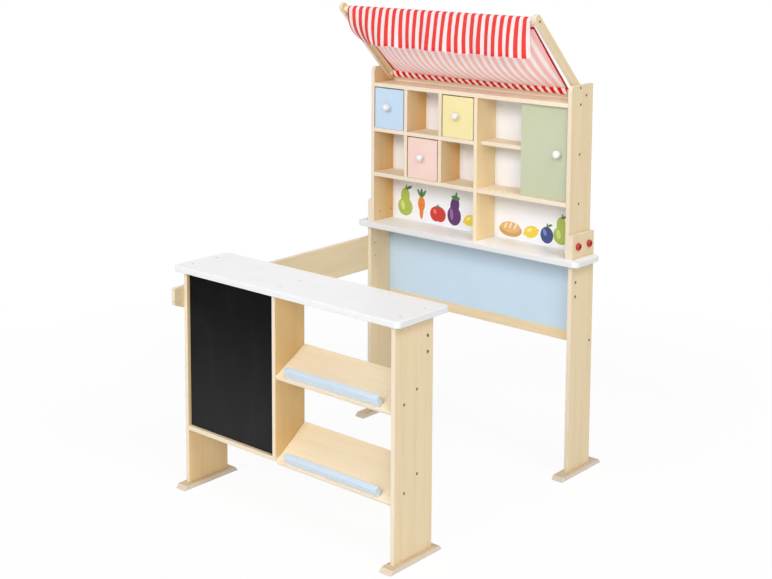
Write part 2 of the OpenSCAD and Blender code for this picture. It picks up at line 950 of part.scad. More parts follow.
module stop_bar(tilt, front_z) {
    color(pale_blue)
        on_slope(tilt, front_z)
            translate([bar_end_gap, bar_set, 0])
                cube([display_w - 2 * bar_end_gap, bar_d, bar_h]);
}

// Connecting rail

rail_start_y = front_y - rail_nose;
rail_end_y = back_y + back_d;
rail_dot_d = 4;
rail_dot_l = 12;
rail_dot_up = 8;
rail_dot_z = rail_top_z - rail_front_drop - rail_nose_h + rail_dot_up;

module connecting_rail() {
    color(wood)
        difference() {
            translate([-leg_x - board_t, 0, rail_top_z])
                rotate([90, 0, 90])
                    linear_extrude(board_t)
                        polygon([[rail_start_y, -rail_front_drop], [rail_start_y, -rail_front_drop - rail_nose_h],
                                 [rail_start_y + rail_taper, -rail_h],
                                 [rail_end_y, -rail_h], [rail_end_y, 0]]);
            for (y = [back_bolt_y, front_bolt_y])
                for (z = rail_bolt_z)
                    bolt_hole_x(-leg_x - board_t, -leg_x, y, z, bolt_d);
            translate([-leg_x - board_t / 2, rail_start_y - cut_over, rail_dot_z])
                rotate([-90, 0, 0])
                    cylinder(h = rail_dot_l + cut_over, d = rail_dot_d);
        }
}

module rail_bolts() {
    color(steel)
        for (y = [back_bolt_y, front_bolt_y])
            for (z = rail_bolt_z)
                translate([-leg_x - board_t, y, z])
                    rotate([0, -90, 0])
                        bolt(2 * board_t - nut_bolt_gap);
}

// Sliding door

module knob(x, face_y, z, peg_l) {
    translate([x, face_y, z])
        rotate([90, 0, 0])
            union() {
                translate([0, 0, -peg_l])
                    cylinder(h = peg_l + knob_neck_l, d = peg_d);
                cylinder(h = knob_neck_l + knob_d / 2, d = knob_neck_d);
                translate([0, 0, knob_neck_l + knob_d / 2 - knob_sink])
                    sphere(d = knob_d);
            }
}

module peg_hole(x, face_y, z, peg_l) {
    translate([x, face_y - cut_over, z])
        rotate([-90, 0, 0])
            cylinder(h = peg_l + hole_gap + cut_over, d = peg_d + 2 * hole_gap);
}

door_knob_x = door_right_x - door_knob_in;
door_knob_z = (door_low_z + door_high_z) / 2;

module sliding_door() {
    color(sage_green)
        difference() {
            slab([door_left_x, door_y, door_low_z], [door_right_x, door_y + door_t, door_high_z]);
            peg_hole(door_knob_x, door_y, door_knob_z, door_peg_l);
        }
}

module door_knob() {
    color(white_paint)
        knob(door_knob_x, door_y, door_knob_z, door_peg_l);
}

// Drawers, by column from the left and row from the top

function drawer_x(column) = column_x(column) + drawer_gap;
drawer_w = cubby_w - 2 * drawer_gap;
drawer_front_h = cubby_h - run_gap - drawer_head_gap;
drawer_rear_y = shelf_rear_y - drawer_rear_gap;
drawer_in_y = back_y + drawer_front_t;
function drawer_z(row) = floor_z(row) + run_gap;
function drawer_knob_z(row) = drawer_z(row) + drawer_front_h / 2 + knob_lift;

module drawer_front(column, row, paint) {
    color(paint)
        difference() {
            slab([drawer_x(column), back_y, drawer_z(row)],
                 [drawer_x(column) + drawer_w, drawer_in_y, drawer_z(row) + drawer_front_h]);
            peg_hole(drawer_x(column) + drawer_w / 2, back_y, drawer_knob_z(row), drawer_peg_l);
        }
}

module drawer_sides(column, row) {
    color(wood)
        for (x = [drawer_x(column), drawer_x(column) + drawer_w - drawer_wall_t])
            slab([x, drawer_in_y, drawer_z(row)],
                 [x + drawer_wall_t, drawer_rear_y, drawer_z(row) + drawer_wall_h]);
}

module drawer_back(column, row) {
    color(wood)
        slab([drawer_x(column) + drawer_wall_t, drawer_rear_y - drawer_wall_t, drawer_z(row)],
             [drawer_x(column) + drawer_w - drawer_wall_t, drawer_rear_y, drawer_z(row) + drawer_wall_h]);
}

module drawer_floor(column, row) {
    color(wood)
        slab([drawer_x(column) + drawer_wall_t, drawer_in_y, drawer_z(row)],
             [drawer_x(column) + drawer_w - drawer_wall_t, drawer_rear_y - drawer_wall_t,
              drawer_z(row) + drawer_floor_t]);
}

module drawer_knob(column, row) {
    color(white_paint)
        knob(drawer_x(column) + drawer_w / 2, back_y, drawer_knob_z(row), drawer_peg_l);
}

back_leg(-1);  // back_leg_left
back_leg(1);  // back_leg_right
foot(-1, back_y, back_d);  // back_foot_left
foot(1, back_y, back_d);  // back_foot_right
back_counter();
apron_panel();
apron_rail();
upper_side(-1);  // upper_side_left
upper_side(1);  // upper_side_right
top_board();
main_divider();
row_shelf();
partition(1);  // partition_left
partition(2);  // partition_right
lower_shelf_left();
lower_shelf_right();
mid_shelf();
back_panel();
awning_arm(-1);  // awning_arm_left
awning_arm(1);  // awning_arm_right
awning_front_rod();
awning_rear_rod();
awning_cloth();
clamp_washers();
clamp_bolts();
sleeve_nuts();
wood_screws();
front_leg(-1);  // front_leg_left
front_leg(1);  // front_leg_right
foot(-1, front_y, front_d);  // front_foot_left
foot(1, front_y, front_d);  // front_foot_right
front_counter();
front_divider();
chalkboard();
chalkboard_ledge();
display_shelf(upper_tilt, upper_front_z);  // display_shelf_upper
display_shelf(lower_tilt, lower_front_z);  // display_shelf_lower
stop_bar(upper_tilt, upper_front_z);  // stop_bar_upper
stop_bar(lower_tilt, lower_front_z);  // stop_bar_lower
connecting_rail();
rail_bolts();
sliding_door();
door_knob();
drawer_front(0, 0, pale_blue);  // drawer_blue_front
drawer_sides(0, 0);  // drawer_blue_sides
drawer_back(0, 0);  // drawer_blue_back
drawer_floor(0, 0);  // drawer_blue_floor
drawer_knob(0, 0);  // drawer_blue_knob
drawer_front(2, 0, pale_yellow);  // drawer_yellow_front
drawer_sides(2, 0);  // drawer_yellow_sides
drawer_back(2, 0);  // drawer_yellow_back
drawer_floor(2, 0);  // drawer_yellow_floor
drawer_knob(2, 0);  // drawer_yellow_knob
drawer_front(1, 1, pale_pink);  // drawer_pink_front
drawer_sides(1, 1);  // drawer_pink_sides
drawer_back(1, 1);  // drawer_pink_back
drawer_floor(1, 1);  // drawer_pink_floor
drawer_knob(1, 1);  // drawer_pink_knob
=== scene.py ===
import math
import random

import bpy
from mathutils import Matrix, Vector


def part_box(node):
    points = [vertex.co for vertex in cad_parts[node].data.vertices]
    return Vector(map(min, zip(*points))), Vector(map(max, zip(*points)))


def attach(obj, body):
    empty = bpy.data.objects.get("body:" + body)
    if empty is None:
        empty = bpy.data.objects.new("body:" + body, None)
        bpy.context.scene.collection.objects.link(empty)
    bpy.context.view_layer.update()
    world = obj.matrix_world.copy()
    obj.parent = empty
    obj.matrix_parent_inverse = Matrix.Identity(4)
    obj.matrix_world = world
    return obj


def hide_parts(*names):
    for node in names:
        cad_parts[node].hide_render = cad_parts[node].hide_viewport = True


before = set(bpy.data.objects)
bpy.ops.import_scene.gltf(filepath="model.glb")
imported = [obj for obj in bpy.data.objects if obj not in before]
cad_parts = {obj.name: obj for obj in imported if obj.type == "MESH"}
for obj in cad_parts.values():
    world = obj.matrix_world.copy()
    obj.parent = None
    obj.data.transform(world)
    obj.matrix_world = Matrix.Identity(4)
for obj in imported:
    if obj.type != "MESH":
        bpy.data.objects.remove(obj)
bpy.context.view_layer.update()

boardDraws = random.Random(11)  # small differences of tone from board to board
spanX, spanY, spanZ = Vector((1, 0, 0)), Vector((0, 1, 0)), Vector((0, 0, 1))
grainX, grainY, grainZ = 0, 1, 2  # the axis that a board's grain follows


# Finishes
class Wire:  # a socket that takes part in sums
    def __init__(self, tree, socket=None):
        self.tree = tree
        self.socket = socket

    def node(self, kind, settings=None, sockets=None, out=0):
        made = self.tree.nodes.new(kind)
        for key, value in (settings or {}).items():
            setattr(made, key, value)
        for key, value in (sockets or {}).items():
            if isinstance(value, Wire):
                self.tree.links.new(value.socket, made.inputs[key])
            else:
                made.inputs[key].default_value = value
        return Wire(self.tree, made.outputs[out] if made.outputs else None)

    def sum(self, operation, *values):
        return self.node("ShaderNodeMath", {"operation": operation}, dict(enumerate(values)))

    def place(self):
        return self.node("ShaderNodeTexCoord", out="Object")

    def mark(self, name):  # a value that markRim gives to each face
        return self.node("ShaderNodeAttribute", {"attribute_name": name}, out="Fac")

    def parts(self):  # X, Y and Z of a vector
        outs = self.node("ShaderNodeSeparateXYZ", {}, {0: self}).socket.node.outputs
        return [Wire(self.tree, out) for out in outs]


operators = {"add": "ADD", "radd": "ADD", "sub": "SUBTRACT", "mul": "MULTIPLY", "rmul": "MULTIPLY",
             "truediv": "DIVIDE", "lt": "LESS_THAN", "gt": "GREATER_THAN"}
for method, operation in operators.items():
    setattr(Wire, "__%s__" % method, lambda self, other, how=operation: self.sum(how, self, other))


def chart(red, green, blue):  # a colour as a paint chart gives it, 0 to 255
    levels = [value / 255 for value in (red, green, blue)]
    return tuple(((v + 0.055) / 1.055) ** 2.4 if v > 0.04 else v / 12.92 for v in levels) + (1.0,)


def darker(colour, share):
    return tuple(value * share for value in colour[:3]) + (1.0,)


def startFinish(name):
    finish = bpy.data.materials.new(name)
    finish.use_nodes = True
    finish.node_tree.nodes.clear()
    return finish, Wire(finish.node_tree)


def closeFinish(finish, wire, sockets):
    surface = wire.node("ShaderNodeBsdfPrincipled", {}, sockets)
    wire.node("ShaderNodeOutputMaterial", {}, {"Surface": surface})
    return finish


def tint(share, first, second, how="MIX"):  # two colours, mixed by a share
    wire = next(value for value in (share, first, second) if isinstance(value, Wire))
    settings = {"data_type": "RGBA", "blend_type": how, "clamp_factor": True}
    return wire.node("ShaderNodeMix", settings, {0: share, 6: first, 7: second}, 2)


def ease(value, low, high, toLow=0.0, toHigh=1.0):
    settings = {"interpolation_type": "SMOOTHSTEP"}
    return value.node("ShaderNodeMapRange", settings, {0: value, 1: low, 2: high, 3: toLow, 4: toHigh})


def noise(place, scale, detail=3.0, roughness=0.5, distortion=0.0):
    scaled = place.node("ShaderNodeVectorMath", {"operation": "MULTIPLY"}, {0: place, 1: scale})
    sockets = {"Vector": scaled, "Scale": 1.0, "Detail": detail, "Roughness": roughness,
               "Distortion": distortion}
    return place.node("ShaderNodeTexNoise", {}, sockets)


def bump(height, strength, distance):
    return height.node("ShaderNodeBump", {}, {"Height": height, "Strength": strength, "Distance": distance})


birch = {
    # the same birch in lit and shaded copies: the pale and bright cuts are painted light, the dull cut is
    # painted shade
    "plain": {"face": (231, 211, 174), "streak": (219, 194, 152), "edge": (228, 216, 200)},
    "pale": {"face": (241, 225, 196), "streak": (231, 210, 174), "edge": (234, 222, 205)},
    "bright": {"face": (252, 233, 192), "streak": (244, 220, 174), "edge": (234, 222, 203)},
    "dull": {"face": (211, 189, 158), "streak": (199, 173, 138), "edge": (218, 210, 199)},
    "pore": (190, 154, 108), "honey": (245, 226, 190),  # faces in painted bounce shade are multiplied by this gold
    # painted shade: the gold that cubby walls take on towards the back, where light bounces between the
    # boards
    "inside": (247, 214, 150), "innerHoney": 0.7, "innerRun": (0.312, 0.415),
    "sizes": {"figure": (0.019, 0.42), "fibre": (0.0022, 0.07), "pore": (0.0011, 0.012)},  # across, along
    "bands": {"figure": (0.36, 0.72), "fibre": (0.35, 0.7), "pore": (0.62, 0.74)},
    "shares": {"figure": 0.34, "fibre": 0.16, "pore": 0.22, "edge": 0.72},
    "boardSpread": 0.02, "roughLow": 0.42, "roughSpread": 0.14, "bump": 0.16, "bumpHigh": 0.0003,
}


def woodFinish(name, grain, turned=0.0, cut="plain", inner=False):  # grain along an axis, turned about X
    finish, wire = startFinish(name)
    place = wire.place()
    if turned:
        place = wire.node("ShaderNodeMapping", {}, {"Vector": place, "Rotation": (-turned, 0, 0)})

    def grown(kind, detail, roughness, distortion=0.0):  # noise drawn out along the grain, and its share
        across, along = birch["sizes"][kind]
        scale = [1 / across] * 3
        scale[grain] = 1 / along
        drawn = noise(place, scale, detail, roughness, distortion)
        return drawn, ease(drawn, *birch["bands"][kind]) * birch["shares"][kind]

    _, figureShare = grown("figure", 2.0, 0.5, 0.8)
    fibre, fibreShare = grown("fibre", 3.0, 0.6)
    pore, poreShare = grown("pore", 2.0, 0.5)
    rim, tone, warm = wire.mark("rim"), wire.mark("tone"), wire.mark("warm")
    tones = {key: chart(*value) for key, value in birch[cut].items()}
    colour = tint(figureShare + fibreShare, tones["face"], tones["streak"])
    colour = tint(poreShare, colour, chart(*birch["pore"]))
    # painted bounce shade: faces marked in markRim are multiplied by a gold
    colour = tint(warm * (birch["innerHoney"] if inner else 1.0), colour, chart(*birch["honey"]), "MULTIPLY")
    if inner:  # painted shade: cubby walls turn deeper gold towards the back
        deep = ease(place.parts()[1], *birch["innerRun"])
        colour = tint(warm * deep, colour, chart(*birch["inside"]), "MULTIPLY")
    # lighter edges: partly the sanded edge itself, partly a painted highlight where the eased edge catches
    # the light
    colour = tint(rim * birch["shares"]["edge"], colour, tones["edge"])
    value = 1 + tone * birch["boardSpread"]
    return closeFinish(finish, wire, {
        "Base Color": wire.node("ShaderNodeHueSaturation", {}, {"Color": colour, "Value": value}),
        "Roughness": birch["roughLow"] + fibre * birch["roughSpread"],
        "Normal": bump(fibre + pore * 0.5, birch["bump"], birch["bumpHigh"]),
    })


paintCoat = {"rollerSize": 0.0011, "mottleSize": 0.07, "mottle": 0.010, "worn": 0.3, "paler": 0.35,
             "roughSpread": 0.1, "bump": 0.10, "bumpHigh": 0.00025}


def paintFinish(name, colour, roughness, edge=None):  # rolled satin paint, paler on rounded edges
    finish, wire = startFinish(name)
    place = wire.place()
    roller = noise(place, [1 / paintCoat["rollerSize"]] * 3, 2.0)
    cloud = noise(place, [1 / paintCoat["mottleSize"]] * 3, 3.0)
    rim = wire.mark("rim")
    base = chart(*colour)
    pale = tuple(value + (1 - value) * paintCoat["paler"] for value in base[:3]) + (1.0,)
    shown = tint(ease(cloud, 0.3, 0.7), base, darker(base, 1 - 2 * paintCoat["mottle"]))
    # a given edge colour replaces the paler wear; the white counters use it as painted shade on their
    # brightly lit edges
    shown = tint(rim, shown, chart(*edge)) if edge else tint(rim * paintCoat["worn"], shown, pale)
    return closeFinish(finish, wire, {
        "Base Color": shown,
        "Roughness": roughness - paintCoat["roughSpread"] / 2 + cloud * paintCoat["roughSpread"],
        "Normal": bump(roller, paintCoat["bump"], paintCoat["bumpHigh"]),
    })


slate = {"black": (12, 12, 14), "dust": (92, 93, 95), "dustShare": 0.17, "wipes": 0.3, "roughness": 0.55,
         "shine": 0.05, "dustLow": 0.17, "dustHigh": 0.60}  # painted light: lighter towards the ledge and darker under the counter, mixed with the chalk dust


def chalkFinish(name):  # matt black with the haze of wiped chalk, and painted light that grows towards the ledge
    finish, wire = startFinish(name)
    place = wire.place()
    wiped = noise(place, (9.0, 9.0, 3.4), 5.0, 0.6, 1.4)
    grain = noise(place, (1300.0, 1300.0, 1300.0), 2.0)
    # painted light: the haze grows towards the ledge
    paintedLightFall = ease(place.parts()[2], slate["dustLow"], slate["dustHigh"], 1.0, 0.0)
    dustAndLightHaze = (slate["wipes"] * ease(wiped, 0.42, 0.78) + paintedLightFall) * slate["dustShare"] * (0.6 + grain * 0.8)
    return closeFinish(finish, wire, {
        "Base Color": tint(dustAndLightHaze, chart(*slate["black"]), chart(*slate["dust"])),
        "Roughness": slate["roughness"] + wiped * 0.2,
        "Specular IOR Level": slate["shine"],
        "Normal": bump(grain, 0.12, 0.0002),
    })


gleam = {"clouds": (160.0, 160.0, 160.0), "scratches": (2400.0, 500.0, 500.0),
         "deep": 0.88, "roughSpread": 0.12}


def gleamFinish(name, colour, roughness, metal=0.0, coat=0.0):  # knobs, cups and fasteners
    finish, wire = startFinish(name)
    place = wire.place()
    cloud, scratch = noise(place, gleam["clouds"], 3.0), noise(place, gleam["scratches"], 2.0)
    base = chart(*colour)
    return closeFinish(finish, wire, {
        "Base Color": tint(ease(cloud, 0.35, 0.7), base, darker(base, gleam["deep"])),
        "Roughness": roughness + scratch * gleam["roughSpread"],
        "Metallic": metal,
        "Coat Weight": coat,
        "Normal": bump(scratch, 0.05, 0.0001),
    })


stripes = {
    # the reverse colours are paler: partly the cotton's paler back, partly painted light for the shaded
    # underside
    "red": (220, 58, 53), "white": (238, 219, 220), "backRed": (252, 197, 194), "backWhite": (252, 241, 241),
    "hem": (190, 6, 22), "turnedRed": (222, 2, 20), "turnedWhite": (255, 238, 228),
    "pitch": 0.648 / 26, "threads": 1 / 0.0007, "wander": 0.0011, "slub": 0.015,
    "double": 0.45, "turned": 0.034, "turnedFade": 0.004,  # the turned hem shows a deeper red, and its whiter white is painted light in the shade under the slope
    "roughLow": 0.82, "roughSpread": 0.06, "sheen": 0.06, "shine": 0.2, "bump": 0.22, "bumpHigh": 0.0003,
    "through": 0.08,  # the reverse glows by this share of its colour: painted light for the light that comes through the cotton
}


def clothFinish(name, reverse=False, hem=False, lowFrom=9.0):  # printed cotton, UV in metres
    finish, wire = startFinish(name)
    flat = wire.node("ShaderNodeUVMap", {"uv_map": "flat"})
    across, along, _ = flat.parts()
    wander = noise(flat, (260.0, 60.0, 1.0), 3.0)
    share = wire.sum("FRACT", (across + (wander - 0.5) * stripes["wander"]) / stripes["pitch"])
    warp, weft = [wire.sum("SINE", way * stripes["threads"] * math.tau) for way in (across, along)]
    weave = warp * weft
    slub = noise(flat, (1400.0, 90.0, 1.0), 2.0) + noise(flat, (90.0, 1400.0, 1.0), 2.0)
    dye = {key: chart(*tone) for key, tone in stripes.items() if isinstance(tone, tuple)}
    hidden = ease(along, stripes["turned"], stripes["turned"] + stripes["turnedFade"])
    red = tint(hidden, dye["turnedRed"], dye["backRed" if reverse else "red"])
    red = tint(ease(along, lowFrom, lowFrom + 0.001) * stripes["double"], red, dye["turnedRed"])
    # painted light: the turned hem's white is lighter
    white = tint(hidden, dye["turnedWhite"], dye["backWhite" if reverse else "white"])
    printed = tint(ease(share, 0.505, 0.535), red, white)
    if hem:
        printed = tint(ease(slub, 0.7, 1.3) * 0.25, dye["hem"], dye["red"])
    dyed = tint(ease(slub, 0.75, 1.3) * stripes["slub"], printed, (1.0, 1.0, 1.0, 1.0))
    dyed = tint(0.5 * ease(weave, -1.0, 0.2, 0.16, 0.0), dyed, (0.32, 0.10, 0.10, 1.0), "MULTIPLY")
    return closeFinish(finish, wire, {
        "Base Color": dyed,
        "Roughness": stripes["roughLow"] + slub * stripes["roughSpread"],
        "Sheen Weight": stripes["sheen"],
        "Specular IOR Level": stripes["shine"],
        "Emission Color": dyed,
        # painted light: the reverse glows a little
        "Emission Strength": stripes["through"] if reverse else 0.0,
        "Normal": bump(weave * 0.5 + slub, stripes["bump"], stripes["bumpHigh"]),
    })


# Generic fruit and vegetables for the back panel, each from ovals in shares of its height:
# place across and up, half width, half height, turn in degrees, colour
produce = {
    "pear": [(0, -0.20, 0.30, 0.29, 0, (170, 190, 84)), (0, 0.14, 0.18, 0.27, 0, (170, 190, 84)),
        (-0.10, -0.16, 0.08, 0.15, 12, (205, 218, 130)), (0.03, 0.44, 0.022, 0.09, -14, (104, 78, 50)),
        (0.15, 0.43, 0.13, 0.05, 24, (74, 128, 66))],
    "carrot": [(0, 0.02, 0.15, 0.24, 0, (230, 128, 48)), (0, -0.22, 0.08, 0.27, 0, (230, 128, 48)),
        (0.02, -0.02, 0.11, 0.012, 0, (198, 98, 34)), (-0.02, -0.18, 0.07, 0.012, 0, (198, 98, 34)),
        (-0.10, 0.37, 0.05, 0.15, 32, (88, 146, 76)), (0.10, 0.37, 0.05, 0.15, -32, (88, 146, 76)),
        (0, 0.39, 0.05, 0.14, 0, (64, 116, 60))],
    "tomato": [(-0.14, -0.06, 0.42, 0.42, 0, (204, 52, 46)), (0.14, -0.06, 0.42, 0.42, 0, (204, 52, 46)),
        (-0.22, 0.08, 0.10, 0.15, 30, (232, 118, 102)), (0, 0.36, 0.22, 0.05, 0, (72, 122, 62)),
        (0, 0.40, 0.05, 0.12, 8, (72, 122, 62))],
    "lemon": [(0, 0, 0.52, 0.36, 18, (238, 208, 74)), (0.46, 0.16, 0.12, 0.09, 18, (238, 208, 74)),
        (-0.46, -0.16, 0.12, 0.09, 18, (238, 208, 74)), (-0.12, 0.10, 0.18, 0.08, 24, (250, 234, 150))],
    "aubergine": [(0, -0.20, 0.26, 0.30, 0, (92, 46, 104)), (0.02, 0.12, 0.17, 0.28, -8, (92, 46, 104)),
        (-0.10, -0.16, 0.06, 0.18, 8, (148, 100, 156)), (0.05, 0.36, 0.16, 0.07, -8, (86, 138, 72)),
        (0.07, 0.45, 0.035, 0.09, -10, (70, 112, 58))],
    "plum": [(0, -0.08, 0.36, 0.40, 0, (58, 74, 132)), (-0.12, 0.04, 0.09, 0.17, 20, (118, 134, 184)),
        (0.01, 0.38, 0.03, 0.12, -8, (98, 74, 48)), (0.16, 0.40, 0.15, 0.06, 22, (86, 140, 74))],
    "loaf": [(0, -0.10, 0.62, 0.32, 0, (206, 158, 98)), (0, 0.02, 0.54, 0.25, 0, (222, 180, 122)),
        (-0.26, 0.08, 0.05, 0.17, -26, (244, 222, 180)), (0, 0.10, 0.05, 0.17, -26, (244, 222, 180)),
        (0.26, 0.08, 0.05, 0.17, -26, (244, 222, 180))],
}
panelPrint = {
    "ground": (243, 244, 249), "groundDeep": 0.96, "plainBack": (226, 219, 206), "roughness": 0.5,
    "bare": (255, 235, 212), "bareFrom": 1.0405,  # above this height the board shows no print and a warm pale tone: painted light, the glow under the awning's hem
    "places": [  # motif, X and Z of its middle, height, in metres
        ("pear", -0.296, 0.672, 0.096), ("carrot", -0.232, 0.668, 0.092), ("tomato", -0.168, 0.650, 0.054),
        ("aubergine", -0.106, 0.671, 0.098), ("lemon", -0.047, 0.646, 0.046), ("plum", 0.006, 0.648, 0.056),
        ("loaf", 0.100, 0.648, 0.064), ("lemon", 0.172, 0.646, 0.048), ("plum", 0.226, 0.650, 0.060),
        ("pear", 0.274, 0.668, 0.088), ("tomato", 0.324, 0.648, 0.052),
        ("plum", -0.290, 0.940, 0.056), ("tomato", -0.122, 0.946, 0.050), ("pear", -0.030, 0.952, 0.080),
        ("carrot", -0.248, 0.818, 0.078), ("lemon", -0.160, 0.806, 0.044), ("aubergine", 0.006, 0.820, 0.084),
    ],
}


def printFinish(name, splitY):  # ovals painted one over the other on the front face only
    finish, wire = startFinish(name)
    place = wire.place()
    x, y, z = place.parts()
    dots, cloud = noise(place, (900.0, 900.0, 900.0), 1.0), noise(place, (22.0, 22.0, 22.0), 3.0)
    ground = chart(*panelPrint["ground"])
    shown = tint(ease(cloud, 0.35, 0.7) * 0.5, ground, darker(ground, panelPrint["groundDeep"]))
    for motif, middleX, middleZ, height in panelPrint["places"]:
        for across, up, halfWidth, halfHeight, turn, colour in produce[motif]:
            lean = math.radians(turn)
            toX, toZ = x - (middleX + across * height), z - (middleZ + up * height)
            alongX = (toX * math.cos(lean) + toZ * math.sin(lean)) / (halfWidth * height)
            alongZ = (toZ * math.cos(lean) - toX * math.sin(lean)) / (halfHeight * height)
            inside = alongX * alongX + alongZ * alongZ < 1.0
            shown = tint(inside, shown, chart(*colour))
    # painted light on the strip above the top board
    shown = tint(z > panelPrint["bareFrom"], shown, chart(*panelPrint["bare"]))
    shown = tint(y > splitY, shown, chart(*panelPrint["plainBack"]))
    return closeFinish(finish, wire, {
        "Base Color": shown,
        "Roughness": panelPrint["roughness"] + cloud * 0.1,
        "Normal": bump(dots, 0.05, 0.0002),
    })


# Modelling steps
def enterEdit():
    bpy.ops.object.mode_set(mode="EDIT")


def leaveEdit():
    bpy.ops.object.mode_set(mode="OBJECT")


def deselectAll():
    if bpy.context.object and bpy.context.object.mode != "OBJECT":
        leaveEdit()
    bpy.ops.object.select_all(action="DESELECT")


def take(*pieces):  # selects these and nothing else, the first one active
    deselectAll()
    for piece in pieces:
        piece.select_set(True)
    bpy.context.view_layer.objects.active = pieces[0]


def applyPlace(piece):
    take(piece)
    bpy.ops.object.transform_apply(location=True, rotation=True, scale=True)


def addBlock(name, low, high):
    deselectAll()
    low, high = Vector(low), Vector(high)
    bpy.ops.mesh.primitive_cube_add(size=1, location=(low + high) / 2, scale=high - low)
    block = bpy.context.object
    block.name = name
    applyPlace(block)
    return block


def startBoard(node):  # a block in the place of a CAD board, with its corners
    low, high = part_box(node)
    return addBlock(camel(node), low, high), low, high


def addObject(name, data):
    made = bpy.data.objects.new(name, data)
    bpy.context.collection.objects.link(made)
    return made


def addRound(name, start, end, radius, sides=40):  # a cylinder between two points
    deselectAll()
    start, end = Vector(start), Vector(end)
    turn = (end - start).to_track_quat("Z", "Y").to_euler()
    bpy.ops.mesh.primitive_cylinder_add(vertices=sides, radius=radius, depth=(end - start).length,
                                        location=(start + end) / 2, rotation=turn)
    piece = bpy.context.object
    piece.name = name
    applyPlace(piece)
    return piece


def pick(piece, kind, test):  # leaves the piece in edit mode with what passes selected
    take(piece)
    enterEdit()
    bpy.ops.mesh.select_mode(type=kind)
    bpy.ops.mesh.select_all(action="DESELECT")
    leaveEdit()
    mesh = piece.data
    for part in {"VERT": mesh.vertices, "EDGE": mesh.edges, "FACE": mesh.polygons}[kind]:
        part.select = bool(test(mesh, part))
    enterEdit()


def edgeEnds(mesh, edge):
    return [mesh.vertices[i].co for i in edge.vertices]


def runsAlong(mesh, edge, direction):
    first, second = edgeEnds(mesh, edge)
    return abs((second - first).normalized().dot(direction)) > 0.99


def roundEdges(piece, test, radius, segments):
    pick(piece, "EDGE", test)
    bpy.ops.mesh.bevel(offset=radius, segments=segments, profile=0.5, affect="EDGES")
    leaveEdit()


def finishWith(piece, kind, **settings):
    take(piece)
    step = piece.modifiers.new(kind.title(), kind)
    for key, value in settings.items():
        setattr(step, key, value)
    bpy.ops.object.modifier_apply(modifier=step.name)


def cutOut(piece, cutter):
    finishWith(piece, "BOOLEAN", operation="DIFFERENCE", solver="EXACT", object=cutter)
    bpy.data.objects.remove(cutter)


def smooth(piece, degrees):
    take(piece)
    bpy.ops.object.shade_smooth_by_angle(angle=math.radians(degrees))


def soften(piece, width, segments=3):  # eased edges with clean shading
    finishWith(piece, "BEVEL", width=width, segments=segments, limit_method="ANGLE",
               angle_limit=math.radians(32))
    smooth(piece, 45)
    finishWith(piece, "WEIGHTED_NORMAL", keep_sharp=True)


def markRim(piece, thin, warmth=0.0, drilled=0.0):  # 1 on a board's edges, 0 on its faces, its tone, painted shade in bores and painted bounce shade on faces that look to +X
    mesh = piece.data
    boreInset = 0.004  # an edge face this far inside the outline belongs to a bore
    low, high = [Vector(corner) for corner in (piece.bound_box[0], piece.bound_box[6])]
    rim, tone, warm = [mesh.attributes.new(name, "FLOAT", "FACE") for name in ("rim", "tone", "warm")]
    shift = boardDraws.uniform(-1, 1)
    for face in mesh.polygons:
        rim.data[face.index].value = 1 - abs(face.normal.dot(thin)) ** 2
        inside = min(min(face.center[i] - low[i], high[i] - face.center[i]) for i in range(3) if not thin[i])
        # painted shade: the faces of a bore are darkened
        shadedBore = drilled and inside > boreInset and rim.data[face.index].value > 0.5
        tone.data[face.index].value = drilled if shadedBore else shift
        # painted bounce shade on faces that look to +X
        warm.data[face.index].value = warmth * max(0.0, face.normal.x)


def camel(node):
    first, *rest = node.split("_")
    return first + "".join(word.title() for word in rest)


def settle(piece, nodes, finish, body="stall"):
    piece.data.materials.clear()
    piece.data.materials.append(finish)
    if nodes:
        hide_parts(*nodes)
    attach(piece, body)


def dress(board, node, thin, eased, slotName, finish, body="stall", segments=3, warmth=0.0, drilled=0.0):
    soften(board, eased, segments)
    markRim(board, thin, warmth, drilled)
    settle(board, [node], finish, body)


def addBoard(node, *looks, **more):  # a plain board
    dress(startBoard(node)[0], node, *looks, **more)


def joinAll(pieces, name):
    take(*pieces)
    bpy.ops.object.join()
    pieces[0].name = name
    return pieces[0]


def placeOn(piece, at, axis):  # a piece made about Z goes to a point, looking along an axis
    piece.matrix_world = Matrix.Translation(at) @ axis.to_track_quat("Z", "Y").to_matrix().to_4x4()
    applyPlace(piece)


def copyTo(model, at, axis):
    twin = addObject("copy", model.data.copy())
    placeOn(twin, at, axis)
    return twin


def turnPiece(name, profile, steps=32):  # a profile of radius and height, spun about Z
    deselectAll()
    bpy.ops.mesh.primitive_plane_add(size=0.01, location=(0, 0, 0))
    piece = bpy.context.object
    piece.name = name
    enterEdit()
    bpy.ops.mesh.select_mode(type="VERT")
    bpy.ops.mesh.select_all(action="SELECT")
    bpy.ops.mesh.merge(type="CENTER")
    here = Vector((profile[0][0], 0, profile[0][1]))
    bpy.ops.transform.translate(value=here)
    for radius, height in profile[1:]:
        there = Vector((radius, 0, height))
        bpy.ops.mesh.extrude_region_move(TRANSFORM_OT_translate={"value": there - here})
        here = there
    bpy.ops.mesh.select_all(action="SELECT")
    bpy.ops.mesh.spin(steps=steps, angle=math.tau, center=(0, 0, 0), axis=(0, 0, 1))
    bpy.ops.mesh.select_all(action="SELECT")
    bpy.ops.mesh.remove_doubles(threshold=0.000002)
    bpy.ops.mesh.normals_make_consistent(inside=False)
    leaveEdit()
    smooth(piece, 35)
    return piece


